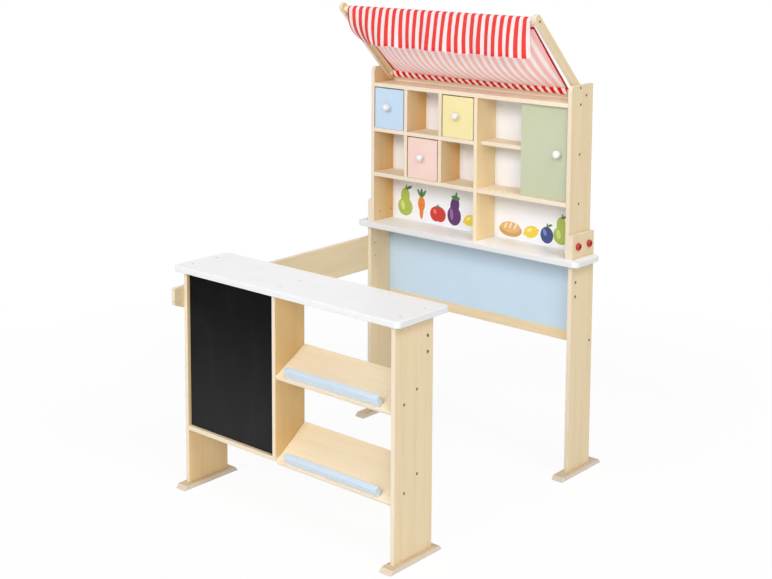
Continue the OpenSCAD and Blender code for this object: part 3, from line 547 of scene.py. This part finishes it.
def looseSpots(node):  # the two corners and the points of each fastener in a CAD node
    take(addObject("spare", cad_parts[node].data.copy()))
    enterEdit()
    bpy.ops.mesh.select_all(action="SELECT")
    bpy.ops.mesh.remove_doubles(threshold=0.000005)
    bpy.ops.mesh.separate(type="LOOSE")
    leaveEdit()
    spots = []
    for part in list(bpy.context.selected_objects):
        points = [vertex.co.copy() for vertex in part.data.vertices]
        low = Vector([min(p[i] for p in points) for i in range(3)])
        high = Vector([max(p[i] for p in points) for i in range(3)])
        spots.append((low, high, points))
        bpy.data.objects.remove(part)
    return sorted(spots, key=lambda spot: [round(value, 4) for value in (spot[0] + spot[1])])


# Boards of the stall
# lit copies of the birch: painted light for boards that stand in brighter light
woodUp, litPaleUp = woodFinish("birchUpright", grainZ), woodFinish("birchPaleUpright", grainZ, cut="pale")
paintedBrightUp = woodFinish("birchBright", grainZ, cut="bright")
woodInner = woodFinish("birchInner", grainZ, cut="pale", inner=True)
woodLevel, litPaleLevel = woodFinish("birchLevel", grainX), woodFinish("birchPaleLevel", grainX, cut="pale")
woodDeep = woodFinish("birchDeep", grainY)
# the counters' edges get a greyer colour: painted shade on edges that catch the most light
whitePaint = paintFinish("whitePaint", (245, 246, 248), 0.38, (227, 228, 230))
satin = 0.42  # roughness of the coloured paints
beyond, close = 0.01, 0.001  # how far a cutter reaches past a board, and what counts as near
print("finishes for the boards are made")

uprights = {
    "nodes": ["back_leg_left", "back_leg_right", "front_leg_left", "front_leg_right", "main_divider",
              "front_divider"],
    # share of painted bounce shade, a gold on the faces that look to +X
    "warmth": {"front_divider": 1.0, "front_leg_left": 0.6, "back_leg_left": 0.5, "main_divider": 0.4},
    # the main divider and the left back leg get lit copies of the birch: painted light
    "finish": {"main_divider": paintedBrightUp, "back_leg_left": litPaleUp}, "eased": 0.0014,
    "spareHole": 0.0042, "spareRise": (0.508, 0.548), "spareIn": 0.020, "drilled": -30.0,  # painted shade darkens the bores
}


def spareHoles(leg, node):  # the right legs keep open rail holes
    low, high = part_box(node)
    y = low[1] + uprights["spareIn"] if node.startswith("back") else high[1] - uprights["spareIn"]
    for z in uprights["spareRise"]:
        ends = [(x, y, z) for x in (low[0] - beyond, high[0] + beyond)]
        cutOut(leg, addRound("drill", *ends, uprights["spareHole"], 28))


for node in uprights["nodes"]:
    board = startBoard(node)[0]
    if node.endswith("leg_right"):
        spareHoles(board, node)
    dress(board, node, spanX, uprights["eased"], "wood_upright", uprights["finish"].get(node, woodUp),
          warmth=uprights["warmth"].get(node, 0.0), drilled=uprights["drilled"])

# the left side's inner face gets painted bounce shade
upperSides = {"nodes": {"upper_side_left": (woodInner, 1.0), "upper_side_right": (woodUp, 0.0)},
              "corner": 0.015, "eased": 0.0014}
for node, (finish, warmth) in upperSides["nodes"].items():
    board, low, high = startBoard(node)
    roundEdges(board, lambda mesh, edge: all(v.y < low[1] + close and v.z > high[2] - close
                                             for v in edgeEnds(mesh, edge)), upperSides["corner"], 8)
    dress(board, node, spanX, upperSides["eased"], "wood_upright", finish, warmth=warmth)

levels = {"nodes": ["top_board", "row_shelf", "lower_shelf_left", "lower_shelf_right", "mid_shelf",
                    "chalkboard_ledge"],
          "eased": 0.0012, "lapY": 0.355, "fit": 0.0002,
          "grooveFront": 0.324, "grooveRear": 0.330, "grooveDeep": 0.004}
# the partitions get the full painted bounce shade
partitions = {"nodes": ["partition_left", "partition_right"], "eased": 0.0012, "warmth": 1.0}


def doorGroove(board, low, high, under):  # the sliding door runs in a groove
    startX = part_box("main_divider")[1][0]
    if under:
        bottom, top = low[2] - beyond, low[2] + levels["grooveDeep"]
    else:
        bottom, top = high[2] - levels["grooveDeep"], high[2] + beyond
    cutOut(board, addBlock("groove", (startX, levels["grooveFront"], bottom),
                           (high[0] + beyond, levels["grooveRear"], top)))


for node in levels["nodes"]:
    board, low, high = startBoard(node)
    if node == "row_shelf":
        for wall in partitions["nodes"]:
            wallLow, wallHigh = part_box(wall)
            cutOut(board, addBlock("lap", (wallLow[0] - levels["fit"], levels["lapY"], low[2] - beyond),
                                   (wallHigh[0] + levels["fit"], high[1] + beyond, high[2] + beyond)))
    if node in ("top_board", "lower_shelf_right"):
        doorGroove(board, low, high, node == "top_board")
    # the shelves get the lit copy of the birch: painted light
    finish = woodLevel if node == "chalkboard_ledge" else litPaleLevel
    dress(board, node, spanZ, levels["eased"], "wood_level", finish)

for node in partitions["nodes"]:
    board, low, high = startBoard(node)
    rowLow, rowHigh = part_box("row_shelf")
    cutOut(board, addBlock("lap", (low[0] - beyond, low[1] - beyond, rowLow[2] - levels["fit"]),
                           (high[0] + beyond, levels["lapY"], rowHigh[2] + levels["fit"])))
    dress(board, node, spanX, partitions["eased"], "wood_upright", woodInner, warmth=partitions["warmth"])

apronRail = {"eased": 0.0014}
addBoard("apron_rail", spanY, apronRail["eased"], "wood_level", woodLevel)
print("uprights, shelves and partitions are up")

counters = {"corners": {"front_counter": 0.014, "back_counter": 0.018}, "eased": 0.0022, "legFit": 0.0003,
            "longer": 0.004}  # the front one's ends stand out a little further in the photo
for node, radius in counters["corners"].items():
    low, high = [Vector(corner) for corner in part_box(node)]
    if node == "front_counter":
        low.x, high.x = low.x - counters["longer"], high.x + counters["longer"]
    board = addBlock(camel(node), low, high)
    roundEdges(board, lambda mesh, edge: runsAlong(mesh, edge, spanZ), radius, 10)
    if node == "back_counter":
        fit = counters["legFit"]
        for leg in ("back_leg_left", "back_leg_right"):
            legLow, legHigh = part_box(leg)
            cutOut(board, addBlock("notch", (legLow[0] - fit, legLow[1] - fit, low[2] - beyond),
                                   (legHigh[0] + fit, high[1] + beyond, high[2] + beyond)))
    dress(board, node, spanZ, counters["eased"], "white_paint", whitePaint, segments=4)

feet = {"nodes": ["back_foot_left", "back_foot_right", "front_foot_left", "front_foot_right"],
        "slope": 0.010, "eased": 0.0016}
# the feet get a darker, greyer copy of the birch: painted shade near the floor
shadedFoot = woodFinish("birchFoot", grainY, cut="dull")
for node in feet["nodes"]:
    board, low, high = startBoard(node)
    pick(board, "FACE", lambda mesh, face: face.normal.z > 0.9)
    length = high[1] - low[1]
    bpy.ops.transform.resize(value=(1, (length - 2 * feet["slope"]) / length, 1),
                             center_override=((low[0] + high[0]) / 2, (low[1] + high[1]) / 2, high[2]))
    leaveEdit()
    dress(board, node, spanZ, feet["eased"], "wood_foot", shadedFoot)

rail = {"taper": 0.138, "noseHeight": 0.046, "frontDrop": 0.006, "holeRadius": 0.002, "holeDeep": 0.012,
        "holeUp": 0.008, "eased": 0.0016}
board, low, high = startBoard("connecting_rail")
pick(board, "FACE", lambda mesh, face: True)
bpy.ops.mesh.bisect(plane_co=(0, low[1] + rail["taper"], 0), plane_no=(0, 1, 0))
leaveEdit()
noseTop = high[2] - rail["frontDrop"]
noseLow = noseTop - rail["noseHeight"]
fall = rail["frontDrop"] * (1 - rail["taper"] / (high[1] - low[1]))
moves = (True, False, noseLow - low[2]), (True, True, noseTop - high[2]), (False, True, -fall)
for atFront, atTop, move in moves:
    pick(board, "VERT", lambda mesh, vertex: (vertex.co.y < low[1] + close) == atFront
         and vertex.co.y < high[1] - close and (vertex.co.z > high[2] - close) == atTop)
    bpy.ops.transform.translate(value=(0, 0, move))
    leaveEdit()
holeX, holeZ = (low[0] + high[0]) / 2, noseLow + rail["holeUp"]
cutOut(board, addRound("drill", (holeX, low[1] - beyond, holeZ), (holeX, low[1] + rail["holeDeep"], holeZ),
                       rail["holeRadius"], 20))
dress(board, "connecting_rail", spanX, rail["eased"], "wood_rail", woodDeep)
print("counters, feet and rail are in place")

# Panels
panelMiddle = sum(corner[1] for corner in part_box("back_panel")) / 2
panels = {"apron_panel": ("blue_panel", paintFinish("blueBoard", (199, 221, 239), satin), 0.0006),
          "chalkboard": ("chalk_black", chalkFinish("chalkBlack"), 0.0006),
          "back_panel": ("printed_panel", printFinish("printedBoard", panelMiddle), 0.0005)}
for node, (slotName, finish, eased) in panels.items():
    addBoard(node, spanY, eased, slotName, finish, segments=2)

# Sloped display shelves with their stop bars
display = {"tilts": {"upper": 29.5, "lower": 35.5}, "thick": 0.012, "eased": 0.0014,
           "barDeep": 0.014, "barHigh": 0.028, "barEased": 0.0015}
barBlue = paintFinish("blueBar", (197, 214, 230), 0.4)
for level, degrees in display["tilts"].items():
    tilt = math.radians(degrees)
    thick, tall = display["thick"], display["barHigh"]
    thin = Vector((0, -math.sin(tilt), math.cos(tilt)))
    low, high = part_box("display_shelf_" + level)
    length = (high[1] - low[1] - thick * math.sin(tilt)) / math.cos(tilt)
    board = addBlock("displayShelf" + level.title(), (0, 0, -thick), (high[0] - low[0], length, 0))
    board.rotation_euler, board.location = (tilt, 0, 0), (low[0], low[1], low[2] + thick * math.cos(tilt))
    applyPlace(board)
    # the display shelves get the lit copy of the birch: painted light
    finish = woodFinish("birchSloped" + level.title(), grainX, tilt, "pale")
    dress(board, "display_shelf_" + level, thin, display["eased"], "wood_display", finish)
    low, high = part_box("stop_bar_" + level)
    bar = addBlock("stopBar" + level.title(), (0, 0, 0), (high[0] - low[0], display["barDeep"], tall))
    bar.rotation_euler, bar.location = (tilt, 0, 0), (low[0], low[1] + tall * math.sin(tilt), low[2])
    applyPlace(bar)
    dress(bar, "stop_bar_" + level, thin, display["barEased"], "blue_bar", barBlue)
print("panels and display shelves are in place")

# Awning frame
arms = {"width": 0.024, "lean": 45.0, "round": 0.998, "eased": 0.0016,
        "warmth": {"awning_arm_left": 0.6, "awning_arm_right": 0.0}}
half, armTurn = arms["width"] / 2, math.radians(180 - arms["lean"])
woodArm = woodFinish("birchArm", grainY, armTurn)
# the left arm gets painted bounce shade on its +X faces
for node, warmth in arms["warmth"].items():
    low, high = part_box(node)
    length = (high[1] - low[1] - arms["width"]) / math.cos(math.radians(arms["lean"]))
    board = addBlock(camel(node), (0, -half, -half), (high[0] - low[0], length + half, half))
    roundEdges(board, lambda mesh, edge: runsAlong(mesh, edge, spanX), half * arms["round"], 9)
    board.rotation_euler.x = armTurn
    board.location = (low[0], high[1] - half, low[2] + half)
    applyPlace(board)
    dress(board, node, spanX, arms["eased"], "wood_arm", woodArm, warmth=warmth)

rods = {"awning_front_rod": 0.0015, "awning_rear_rod": 0.001}  # how far their ends are eased
rodCentre, rodRadius = {}, {}
for node, eased in rods.items():
    low, high = [Vector(corner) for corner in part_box(node)]
    middle = (low + high) / 2
    rodCentre[node], rodRadius[node] = middle.yz, (high.z - low.z) / 2
    ends = [(x, middle.y, middle.z) for x in (low.x, high.x)]
    rod = addRound(camel(node), *ends, rodRadius[node], 48)
    dress(rod, node, spanZ, eased, "wood_rod", woodLevel)

# Awning cloth, one sheet from its turned hem round the rear rod, up the slope, over the front rod and down
awning = {
    "width": 0.648, "rearWidth": 0.626, "rearShift": -0.008, "frontWidth": 0.641, "frontShift": 0.0035,
    "thick": 0.0012, "rodGap": 0.0004, "printSlant": 0.64, "printWave": 0.0055,
    "printRear": -0.3367, "printGrow": 0.016,  # where the stripes start on the rear rod, and how they widen
    "flap": 0.014, "flapUnder": 0.0022, "flapSag": 0.0012,
    "rearTurn": 225.0, "frontFrom": 285.0, "frontTurn": 240.0, "sag": 0.042, "bellyPower": 4,
    "valance": 0.100, "swell": 0.009, "swellEnd": 105.0, "folds": 0.004, "foldCount": 3, "foldShift": 0.020,
    "curl": 0.070, "curlReach": 0.210, "rightCurl": 0.008, "rightReach": 0.060, "curlPower": 2.9,
    "tuck": 0.0015, "ripple": 0.0018, "pucker": 0.0011, "puckerReach": 0.045, "puckerStill": 0.012,
    "puckerFront": 0.6, "puckerWaves": (210, 37), "sway": 0.0018, "lowWave": 0.014,
    "columns": 180, "steps": {"flap": 6, "rear": 14, "slope": 56, "front": 22, "valance": 34},
    "leftHem": 0.012, "rightHem": 0.0045, "lowHem": 0.010, "cornerHem": 0.018, "cornerRows": 3,
    "hemGap": 0.0003, "hemThick": 0.0010, "hemColumns": 4,
}
rearAt, frontAt = rodCentre["awning_rear_rod"], rodCentre["awning_front_rod"]
wrap = awning["rodGap"] + awning["thick"] / 2
rearWrap, frontWrap = rodRadius["awning_rear_rod"] + wrap, rodRadius["awning_front_rod"] + wrap
slopeDir = (frontAt - rearAt).normalized()
slopeOut = Vector((slopeDir.y, -slopeDir.x))
slopeAngle = math.atan2(slopeOut.y, slopeOut.x)


def roundRod(centre, radius, angle):
    return centre + radius * Vector((math.cos(angle), math.sin(angle)))


slopeFrom = roundRod(rearAt, rearWrap, slopeAngle)
slopeTo = roundRod(frontAt, frontWrap, math.radians(awning["frontFrom"]))
slopeLong = (slopeTo - slopeFrom).length
valanceFrom = roundRod(frontAt, frontWrap, math.radians(awning["frontFrom"] + awning["frontTurn"]))


def curlShare(fromEnd, reach):
    return max(0.0, 1 - fromEnd / reach) ** awning["curlPower"]


def slopePoint(x, t):
    belly = 1 - abs(2 * x / awning["width"]) ** awning["bellyPower"]
    fromRear, fromFront = slopeLong * t, slopeLong * (1 - t)
    near = math.exp(-fromRear / awning["puckerReach"])
    near += awning["puckerFront"] * math.exp(-fromFront / awning["puckerReach"])
    free = min(1.0, fromRear / awning["puckerStill"], fromFront / awning["puckerStill"])
    waves, wander = awning["puckerWaves"]
    pucker = awning["pucker"] * near * free * math.sin(x * waves + 1.3 * math.sin(x * wander))
    lift = -awning["sag"] * belly * math.sin(math.pi * t) + pucker
    return slopeFrom + (slopeTo - slopeFrom) * t + slopeOut * lift


def rearPoint(x, t):
    return roundRod(rearAt, rearWrap, slopeAngle - math.radians(awning["rearTurn"]) * (1 - t))


def frontPoint(x, t):
    return roundRod(frontAt, frontWrap, math.radians(awning["frontFrom"] + awning["frontTurn"] * t))


def flapPoint(x, t):  # the hem comes from the underside of the slope to the rear rod
    end = slopePoint(x, awning["flap"] / slopeLong) - slopeOut * awning["flapUnder"]
    start = rearPoint(x, 0)
    return start + (end - start) * (1 - t) - slopeOut * awning["flapSag"] * math.sin(math.pi * (1 - t))


def valancePoint(x, s):
    left = curlShare(awning["width"] / 2 + x, awning["curlReach"])
    right = curlShare(awning["width"] / 2 - x, awning["rightReach"])
    free = (1 - left) * (1 - right)
    swell = awning["swell"] * math.sin(math.radians(awning["swellEnd"]) * s ** 0.9)
    back = (awning["curl"] * left + awning["rightCurl"] * right) * s ** 3 - awning["tuck"] * (1 - free)
    turns = math.tau * x / awning["width"]
    shift = math.tau * awning["foldShift"] / awning["width"]
    fold = -awning["folds"] * math.cos(awning["foldCount"] * (turns - shift)) * s
    waves = math.sin(11.3 * turns + 0.7) + 0.7 * math.sin(17.7 * turns + 2.1 + 1.5 * s)
    ripple = awning["ripple"] * s * waves
    drop = awning["valance"] * s * (1 + awning["lowWave"] * math.sin(6.3 * turns + 1.9) * free)
    return valanceFrom + Vector((back + (fold - swell) * free + ripple * (1 - 0.5 * left), -drop))


def swayAside(share, s):  # hanging cloth leans to and fro between its folds
    lean = math.sin(9.0 * share + 2.6 + 2.0 * s) + 0.8 * math.sin(23.0 * share + 2.0 - 2.5 * s)
    return awning["sway"] * lean * s ** 1.2 * (1 - abs(2 * share) ** 8)


stretches = {"flap": flapPoint, "rear": rearPoint, "slope": slopePoint, "front": frontPoint,
             "valance": valancePoint}
stations = []  # each a function of x, with the share of the way from the rear width to the front one
for stretch, pointAt in stretches.items():
    count = awning["steps"][stretch]
    for i in range(count + 1 if stretch == "valance" else count):
        widen = {"flap": 0.0, "rear": 0.0, "slope": i / count}.get(stretch, 1.0)
        stations.append((lambda x, at=pointAt, t=i / count: at(x, t), widen))
slopeStart = awning["steps"]["flap"] + awning["steps"]["rear"]
slopeEnd = slopeStart + awning["steps"]["slope"]
valanceRow = slopeEnd + awning["steps"]["front"]
lengths = [0.0]
for (before, _), (after, _) in zip(stations, stations[1:]):
    lengths.append(lengths[-1] + (after(0.0) - before(0.0)).length)


def clothPatch(name, firstRow, lastRow, shares, offset=0.0):  # part of the sheet, set off to one side
    rows = range(firstRow, lastRow + 1)
    points, flats = [], []
    for row in rows:
        at, widen = stations[row]
        width = awning["rearWidth"] + (awning["frontWidth"] - awning["rearWidth"]) * widen
        aside = awning["rearShift"] * (1 - widen) + awning["frontShift"] * widen
        slant = awning["printSlant"] * min(0.0, lengths[row] - lengths[slopeStart])
        hang = max(0.0, (row - valanceRow) / awning["steps"]["valance"])
        for share in shares:
            x = share * awning["width"]
            before, after = stations[max(row - 1, 0)][0](x), stations[min(row + 1, len(stations) - 1)][0](x)
            along = (after - before).normalized()
            spot = at(x) + Vector((along.y, -along.x)) * offset
            points.append((share * width + aside + swayAside(share, hang), spot.x, spot.y))
            gather = awning["printWave"] * math.sin(math.pi * (share + 0.5) ** 1.4) * widen
            printFrom = awning["printRear"] * (1 - widen) - awning["width"] / 2 * widen + slant + gather
            across = (share * width + aside - printFrom) / (1 + awning["printGrow"] * (1 - widen))
            flats.append((across, lengths[row]))
    count = len(shares)
    faces = [(r * count + c, (r + 1) * count + c, (r + 1) * count + c + 1, r * count + c + 1)
             for r in range(len(rows) - 1) for c in range(count - 1)]
    mesh = bpy.data.meshes.new(name)
    mesh.from_pydata(points, [], faces)
    layer = mesh.uv_layers.new(name="flat")
    for loop in mesh.loops:
        layer.data[loop.index].uv = flats[loop.vertex_index]
    return addObject(name, mesh)


shares = [c / (awning["columns"] - 1) - 0.5 for c in range(awning["columns"])]
cloth = clothPatch("awningCloth", 0, len(stations) - 1, shares)
clothFront = clothFinish("stripedCotton", lowFrom=lengths[-1] - awning["lowHem"])
clothBack = clothFinish("stripedCottonReverse", reverse=True)
clothHem = clothFinish("redHem", hem=True)
cloth.data.materials.append(clothFront)
cloth.data.materials.append(clothBack)
finishWith(cloth, "SOLIDIFY", thickness=awning["thick"], offset=0.0, material_offset=1, material_offset_rim=0,
           use_even_offset=True)
smooth(cloth, 50)
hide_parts("awning_cloth")
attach(cloth, "stall")

# Side hems on the slope, turned to the reverse, and the hem along the bottom of the valance
behind = -(awning["thick"] / 2 + awning["hemGap"] + awning["hemThick"] / 2)


def addHem(name, firstRow, lastRow, shares, finish):
    hem = clothPatch(name, firstRow, lastRow, shares, behind)
    finishWith(hem, "SOLIDIFY", thickness=awning["hemThick"], offset=0.0)
    smooth(hem, 50)
    settle(hem, [], finish)


for name, side, start, wide, row in (
        ("awningSideHemLeft", -1, 0.0, awning["leftHem"], slopeStart + 2),
        ("awningSideHemRight", 1, 0.0, awning["rightHem"], slopeStart + 2),
        ("awningHemCorner", 1, awning["rightHem"], awning["cornerHem"], slopeEnd - awning["cornerRows"])):
    parts = awning["hemColumns"]
    edge = [side * (0.5 - (start + (wide - start) * i / parts) / awning["width"]) for i in range(parts + 1)]
    addHem(name, row, slopeEnd - 1, sorted(edge), clothHem)
lastRow = len(stations) - 1
lowRows = max(1, round(awning["lowHem"] / awning["valance"] * awning["steps"]["valance"]))
addHem("awningLowHem", lastRow - lowRows, lastRow, shares, clothFront)

# Sliding door and drawers
knobWhite = gleamFinish("whiteKnob", (240, 240, 241), 0.16, coat=0.4)
knob = {"radius": 0.011, "neck": 0.0055, "foot": 0.0065, "sink": 0.001, "neckLong": 0.003, "footDeep": 0.002,
        "footHigh": 0.0006, "neckFrom": 0.0014, "arcs": 16, "steps": 40}


def addKnob(node, body):  # a turned ball on a short neck, looking to the front
    low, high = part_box(node)
    r, foot, neck, deep = knob["radius"], knob["foot"], knob["neck"], knob["footDeep"]
    profile = [(0, -deep), (foot, -deep), (foot, knob["footHigh"]), (neck, knob["neckFrom"])]
    centre = knob["neckLong"] + r - knob["sink"]
    start = math.asin(neck / r)
    for i in range(knob["arcs"] + 1):
        angle = math.pi - start - (math.pi - start) * i / knob["arcs"]
        profile.append((max(0.0, r * math.sin(angle)), centre + r * math.cos(angle)))
    profile[-1] = (0.0, profile[-1][1])
    piece = turnPiece(camel(node), profile, knob["steps"])
    placeOn(piece, Vector(((low[0] + high[0]) / 2, low[1] + centre + r, (low[2] + high[2]) / 2)), -spanY)
    smooth(piece, 40)
    settle(piece, [node], knobWhite, body)


door = {"paint": (193, 200, 171), "eased": 0.0008}
sagePaint = paintFinish("sagePaint", door["paint"], satin)
addBoard("sliding_door", spanY, door["eased"], "sage_paint", sagePaint, "door")
addKnob("door_knob", "door")

drawers = {"paints": {"blue": (194, 218, 240), "yellow": (241, 229, 170), "pink": (244, 212, 203)},
           "wall": 0.006, "frontEased": 0.0016, "wallEased": 0.0008}
for colour, tone in drawers["paints"].items():
    body = "drawer_" + colour
    sides = body + "_sides"
    paint = paintFinish(colour + "Paint", tone, satin)
    addBoard(body + "_front", spanY, drawers["frontEased"], colour + "_paint", paint, body, segments=4)
    low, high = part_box(sides)
    walls = [addBlock("wall", low, (low[0] + drawers["wall"], high[1], high[2])),
             addBlock("wall", (high[0] - drawers["wall"], low[1], low[2]), high)]
    for wall in walls:
        soften(wall, drawers["wallEased"], 2)
        markRim(wall, spanX)
    settle(joinAll(walls, camel(sides)), [sides], woodDeep, body)
    for part, thin in (("_back", spanY), ("_floor", spanZ)):
        addBoard(body + part, thin, drawers["wallEased"], "wood_drawer", woodLevel, body, segments=2)
    addKnob(body + "_knob", body)
print("door and drawers are fitted")

# Fasteners, each modelled once and copied to the places of the CAD ones
steel = gleamFinish("darkSteel", (104, 98, 90), 0.40, metal=1.0)
paintedSteel = gleamFinish("paintedSteel", (206, 208, 210), 0.45)
cupRed = gleamFinish("redCup", (186, 12, 24), 0.3, coat=0.2)


def headSide(low, high, points):  # where a fastener's wide end is, and the way it looks
    size = list(high - low)
    axis = size.index(max(size))
    middle = (low + high) / 2

    def spread(end):
        near = [p for p in points if abs(p[axis] - end) < 0.0008]
        return max((max(abs(p[i] - middle[i]) for i in range(3) if i != axis) for p in near), default=0)

    way = (spanX, spanY, spanZ)[axis]
    at = middle.copy()
    atHigh = spread(high[axis]) > spread(low[axis])
    at[axis] = high[axis] if atHigh else low[axis]
    return at, way if atHigh else -way


def spreadCopies(model, node, spots, sunk):  # the model stands its head's height below the CAD end
    places = [headSide(*spot) for spot in spots]
    copies = [copyTo(model, at - way * sunk, way) for at, way in places]
    bpy.data.objects.remove(model)
    settle(joinAll(copies, camel(node)), [node], steel)


screw = {"head": 0.00375, "shank": 0.0018, "proud": 0.0003, "key": 0.0013, "keyDeep": 0.0014, "long": 0.0215}
head, shank, proud, key, keyDeep, long = screw.values()
profile = [(0, proud), (head * 0.86, proud), (head, proud * 0.3), (head, -0.0003), (shank, -0.0022),
           (shank, -long + 0.002), (0, -long)]
model = turnPiece("screwModel", profile, 20)
cutOut(model, addRound("key", (0, 0, proud - keyDeep), (0, 0, beyond), key, 6))
copies, painted = [], []  # the screws in the counters are painted over
for spot in looseSpots("wood_screws"):
    at, way = headSide(*spot)
    kind = painted if way.z > 0.9 else copies
    kind.append(copyTo(model, at, way))
bpy.data.objects.remove(model)
settle(joinAll(copies, "woodScrews"), ["wood_screws"], steel)
settle(joinAll(painted, "counterScrews"), [], paintedSteel)

cup = {"radius": 0.010, "height": 0.008, "floor": 0.003, "well": 0.0052, "hole": 0.0031, "steps": 36}
r, top, bed, well, hole, steps = cup.values()
profile = [(hole, 0.0), (r - 0.0004, 0.0), (r, 0.0006), (r, 0.0052), (r - 0.0007, 0.0068),
           (r - 0.0021, 0.0078), (r - 0.0030, top), (well + 0.0006, top - 0.0002), (well, top - 0.0009),
           (well, bed), (hole, bed), (hole, 0.0)]
model = turnPiece("cupModel", profile, steps)
copies = []
for low, high, _ in looseSpots("clamp_washers"):
    middle = (low + high) / 2
    out = spanX if middle.x > 0 else -spanX
    foot = Vector((low.x if middle.x > 0 else high.x, middle.y, middle.z))
    copies.append(copyTo(model, foot, out))
bpy.data.objects.remove(model)
settle(joinAll(copies, "clampWashers"), ["clamp_washers"], cupRed)

bolt = {"head": 0.005, "headHigh": 0.0035, "shank": 0.003, "key": 0.002, "keyDeep": 0.0022}
head, top, shank, key, keyDeep = bolt.values()
for node in ("clamp_bolts", "rail_bolts"):
    spots = looseSpots(node)
    long = max(spots[0][1] - spots[0][0]) - top
    profile = [(0, top), (head * 0.55, top), (head * 0.86, top - 0.0007), (head, top - 0.0020), (head, 0.0),
               (shank, 0.0), (shank, -long + 0.001), (shank - 0.0007, -long), (0, -long)]
    model = turnPiece("boltModel", profile)
    cutOut(model, addRound("key", (0, 0, top - keyDeep), (0, 0, 2 * beyond), key, 6))
    spreadCopies(model, node, spots, top)

sleeve = {"flange": 0.006, "flangeHigh": 0.0015, "outer": 0.0038, "bore": 0.0031}
flange, top, outer, bore = sleeve.values()
spots = looseSpots("sleeve_nuts")
long = max(spots[0][1] - spots[0][0]) - top
profile = [(bore, top), (flange - 0.0008, top), (flange, top * 0.4), (flange, 0.0), (outer, 0.0),
           (outer, -long), (bore, -long), (bore, top)]
model = turnPiece("nutModel", profile)
spreadCopies(model, "sleeve_nuts", spots, top)
print("fasteners are in place")

# Floor, light and camera
studio = {"floorSize": 80.0, "floorColour": (250, 250, 250), "floorBounce": (248, 247, 245),
          "fadeFrom": 0.9, "fadeTo": 2.2, "nearWhite": 0.92, "ambient": 0.28, "white": (1, 1, 1, 1)}


def seenDirectly(wire):  # 1 for rays that bring the floor or the backdrop into the picture
    seen, gloss, through = [wire.node("ShaderNodeLightPath", out="Is %s Ray" % kind)
                            for kind in ("Camera", "Glossy", "Transmission")]
    return wire.sum("MAXIMUM", wire.sum("MAXIMUM", seen, gloss), through)


deselectAll()
bpy.ops.mesh.primitive_plane_add(size=studio["floorSize"], location=(0, 0, 0))
floor = bpy.context.object
floor.name = "studioFloor"
finish, wire = startFinish("studioFloor")
away = wire.node("ShaderNodeVectorMath", {"operation": "LENGTH"}, {0: wire.place()}, "Value")
shown = seenDirectly(wire)
white = wire.node("ShaderNodeEmission", {}, {"Color": studio["white"], "Strength": 1.0})
plain = wire.node("ShaderNodeBsdfDiffuse", {}, {
    "Color": tint(shown, chart(*studio["floorBounce"]), chart(*studio["floorColour"]))})
share = ease(away, studio["fadeFrom"], studio["fadeTo"], studio["nearWhite"], 1.0) * shown
mixed = wire.node("ShaderNodeMixShader", {}, {0: share, 1: plain, 2: white})
wire.node("ShaderNodeOutputMaterial", {}, {"Surface": mixed})
floor.data.materials.append(finish)

world = bpy.data.worlds.new("studio")
bpy.context.scene.world = world
world.use_nodes = True
world.node_tree.nodes.clear()
wire = Wire(world.node_tree)
sky, white = [wire.node("ShaderNodeBackground", {}, {"Color": studio["white"], "Strength": strength})
              for strength in (studio["ambient"], 1.0)]
mixed = wire.node("ShaderNodeMixShader", {}, {0: seenDirectly(wire), 1: sky, 2: white})
wire.node("ShaderNodeOutputWorld", {}, {"Surface": mixed})

lamps = {
    "places": {  # compass and height of each in degrees, watts
        "key": (0.0, 30.0, 635.0),
        "frontLow": (10.0, 6.0, 30.0),
        "cameraSide": (45.0, 25.0, 415.0),
        "rightHigh": (75.0, 50.0, 560.0),
        "top": (0.0, 89.0, 80.0),
    },
    "target": (0.0, 0.0, 0.65), "distance": 12.6, "size": 4.5,
}
for name, (compass, height, watts) in lamps["places"].items():
    lamp = bpy.data.lights.new(name, "AREA")
    lamp.size = lamps["size"]
    lamp.energy = watts
    holder = addObject(name, lamp)
    turn, rise = math.radians(compass), math.radians(height)
    away = Vector((math.sin(turn) * math.cos(rise), -math.cos(turn) * math.cos(rise), math.sin(rise)))
    holder.location = Vector(lamps["target"]) + away * lamps["distance"]
    holder.rotation_euler = (-away).to_track_quat("-Z", "Y").to_euler()

photoCamera = {"at": (2.38305, -2.79941, 1.54657), "yaw": 41.06, "pitch": 7.0, "roll": 0.25,
               "focal": 1383.84, "middle": (379.37, 83.0), "picture": (772, 579), "sensor": 36.0}
yaw, pitch, roll = (math.radians(photoCamera[key]) for key in ("yaw", "pitch", "roll"))
lens = bpy.data.cameras.new("photoCamera")
wide, tall = photoCamera["picture"]
lens.sensor_width = photoCamera["sensor"]
lens.lens = photoCamera["focal"] * photoCamera["sensor"] / wide
lens.shift_x = (wide / 2 - photoCamera["middle"][0]) / wide
lens.shift_y = (photoCamera["middle"][1] - tall / 2) / wide
lens.clip_end = 200.0
holder = addObject("photoCamera", lens)
raised = math.pi / 2 - pitch  # a camera that isn't turned looks straight down
turn = Matrix.Rotation(yaw, 4, "Z") @ Matrix.Rotation(raised, 4, "X") @ Matrix.Rotation(roll, 4, "Z")
holder.matrix_world = Matrix.Translation(photoCamera["at"]) @ turn
bpy.context.scene.camera = holder
bpy.context.scene.view_settings.view_transform = "Standard"
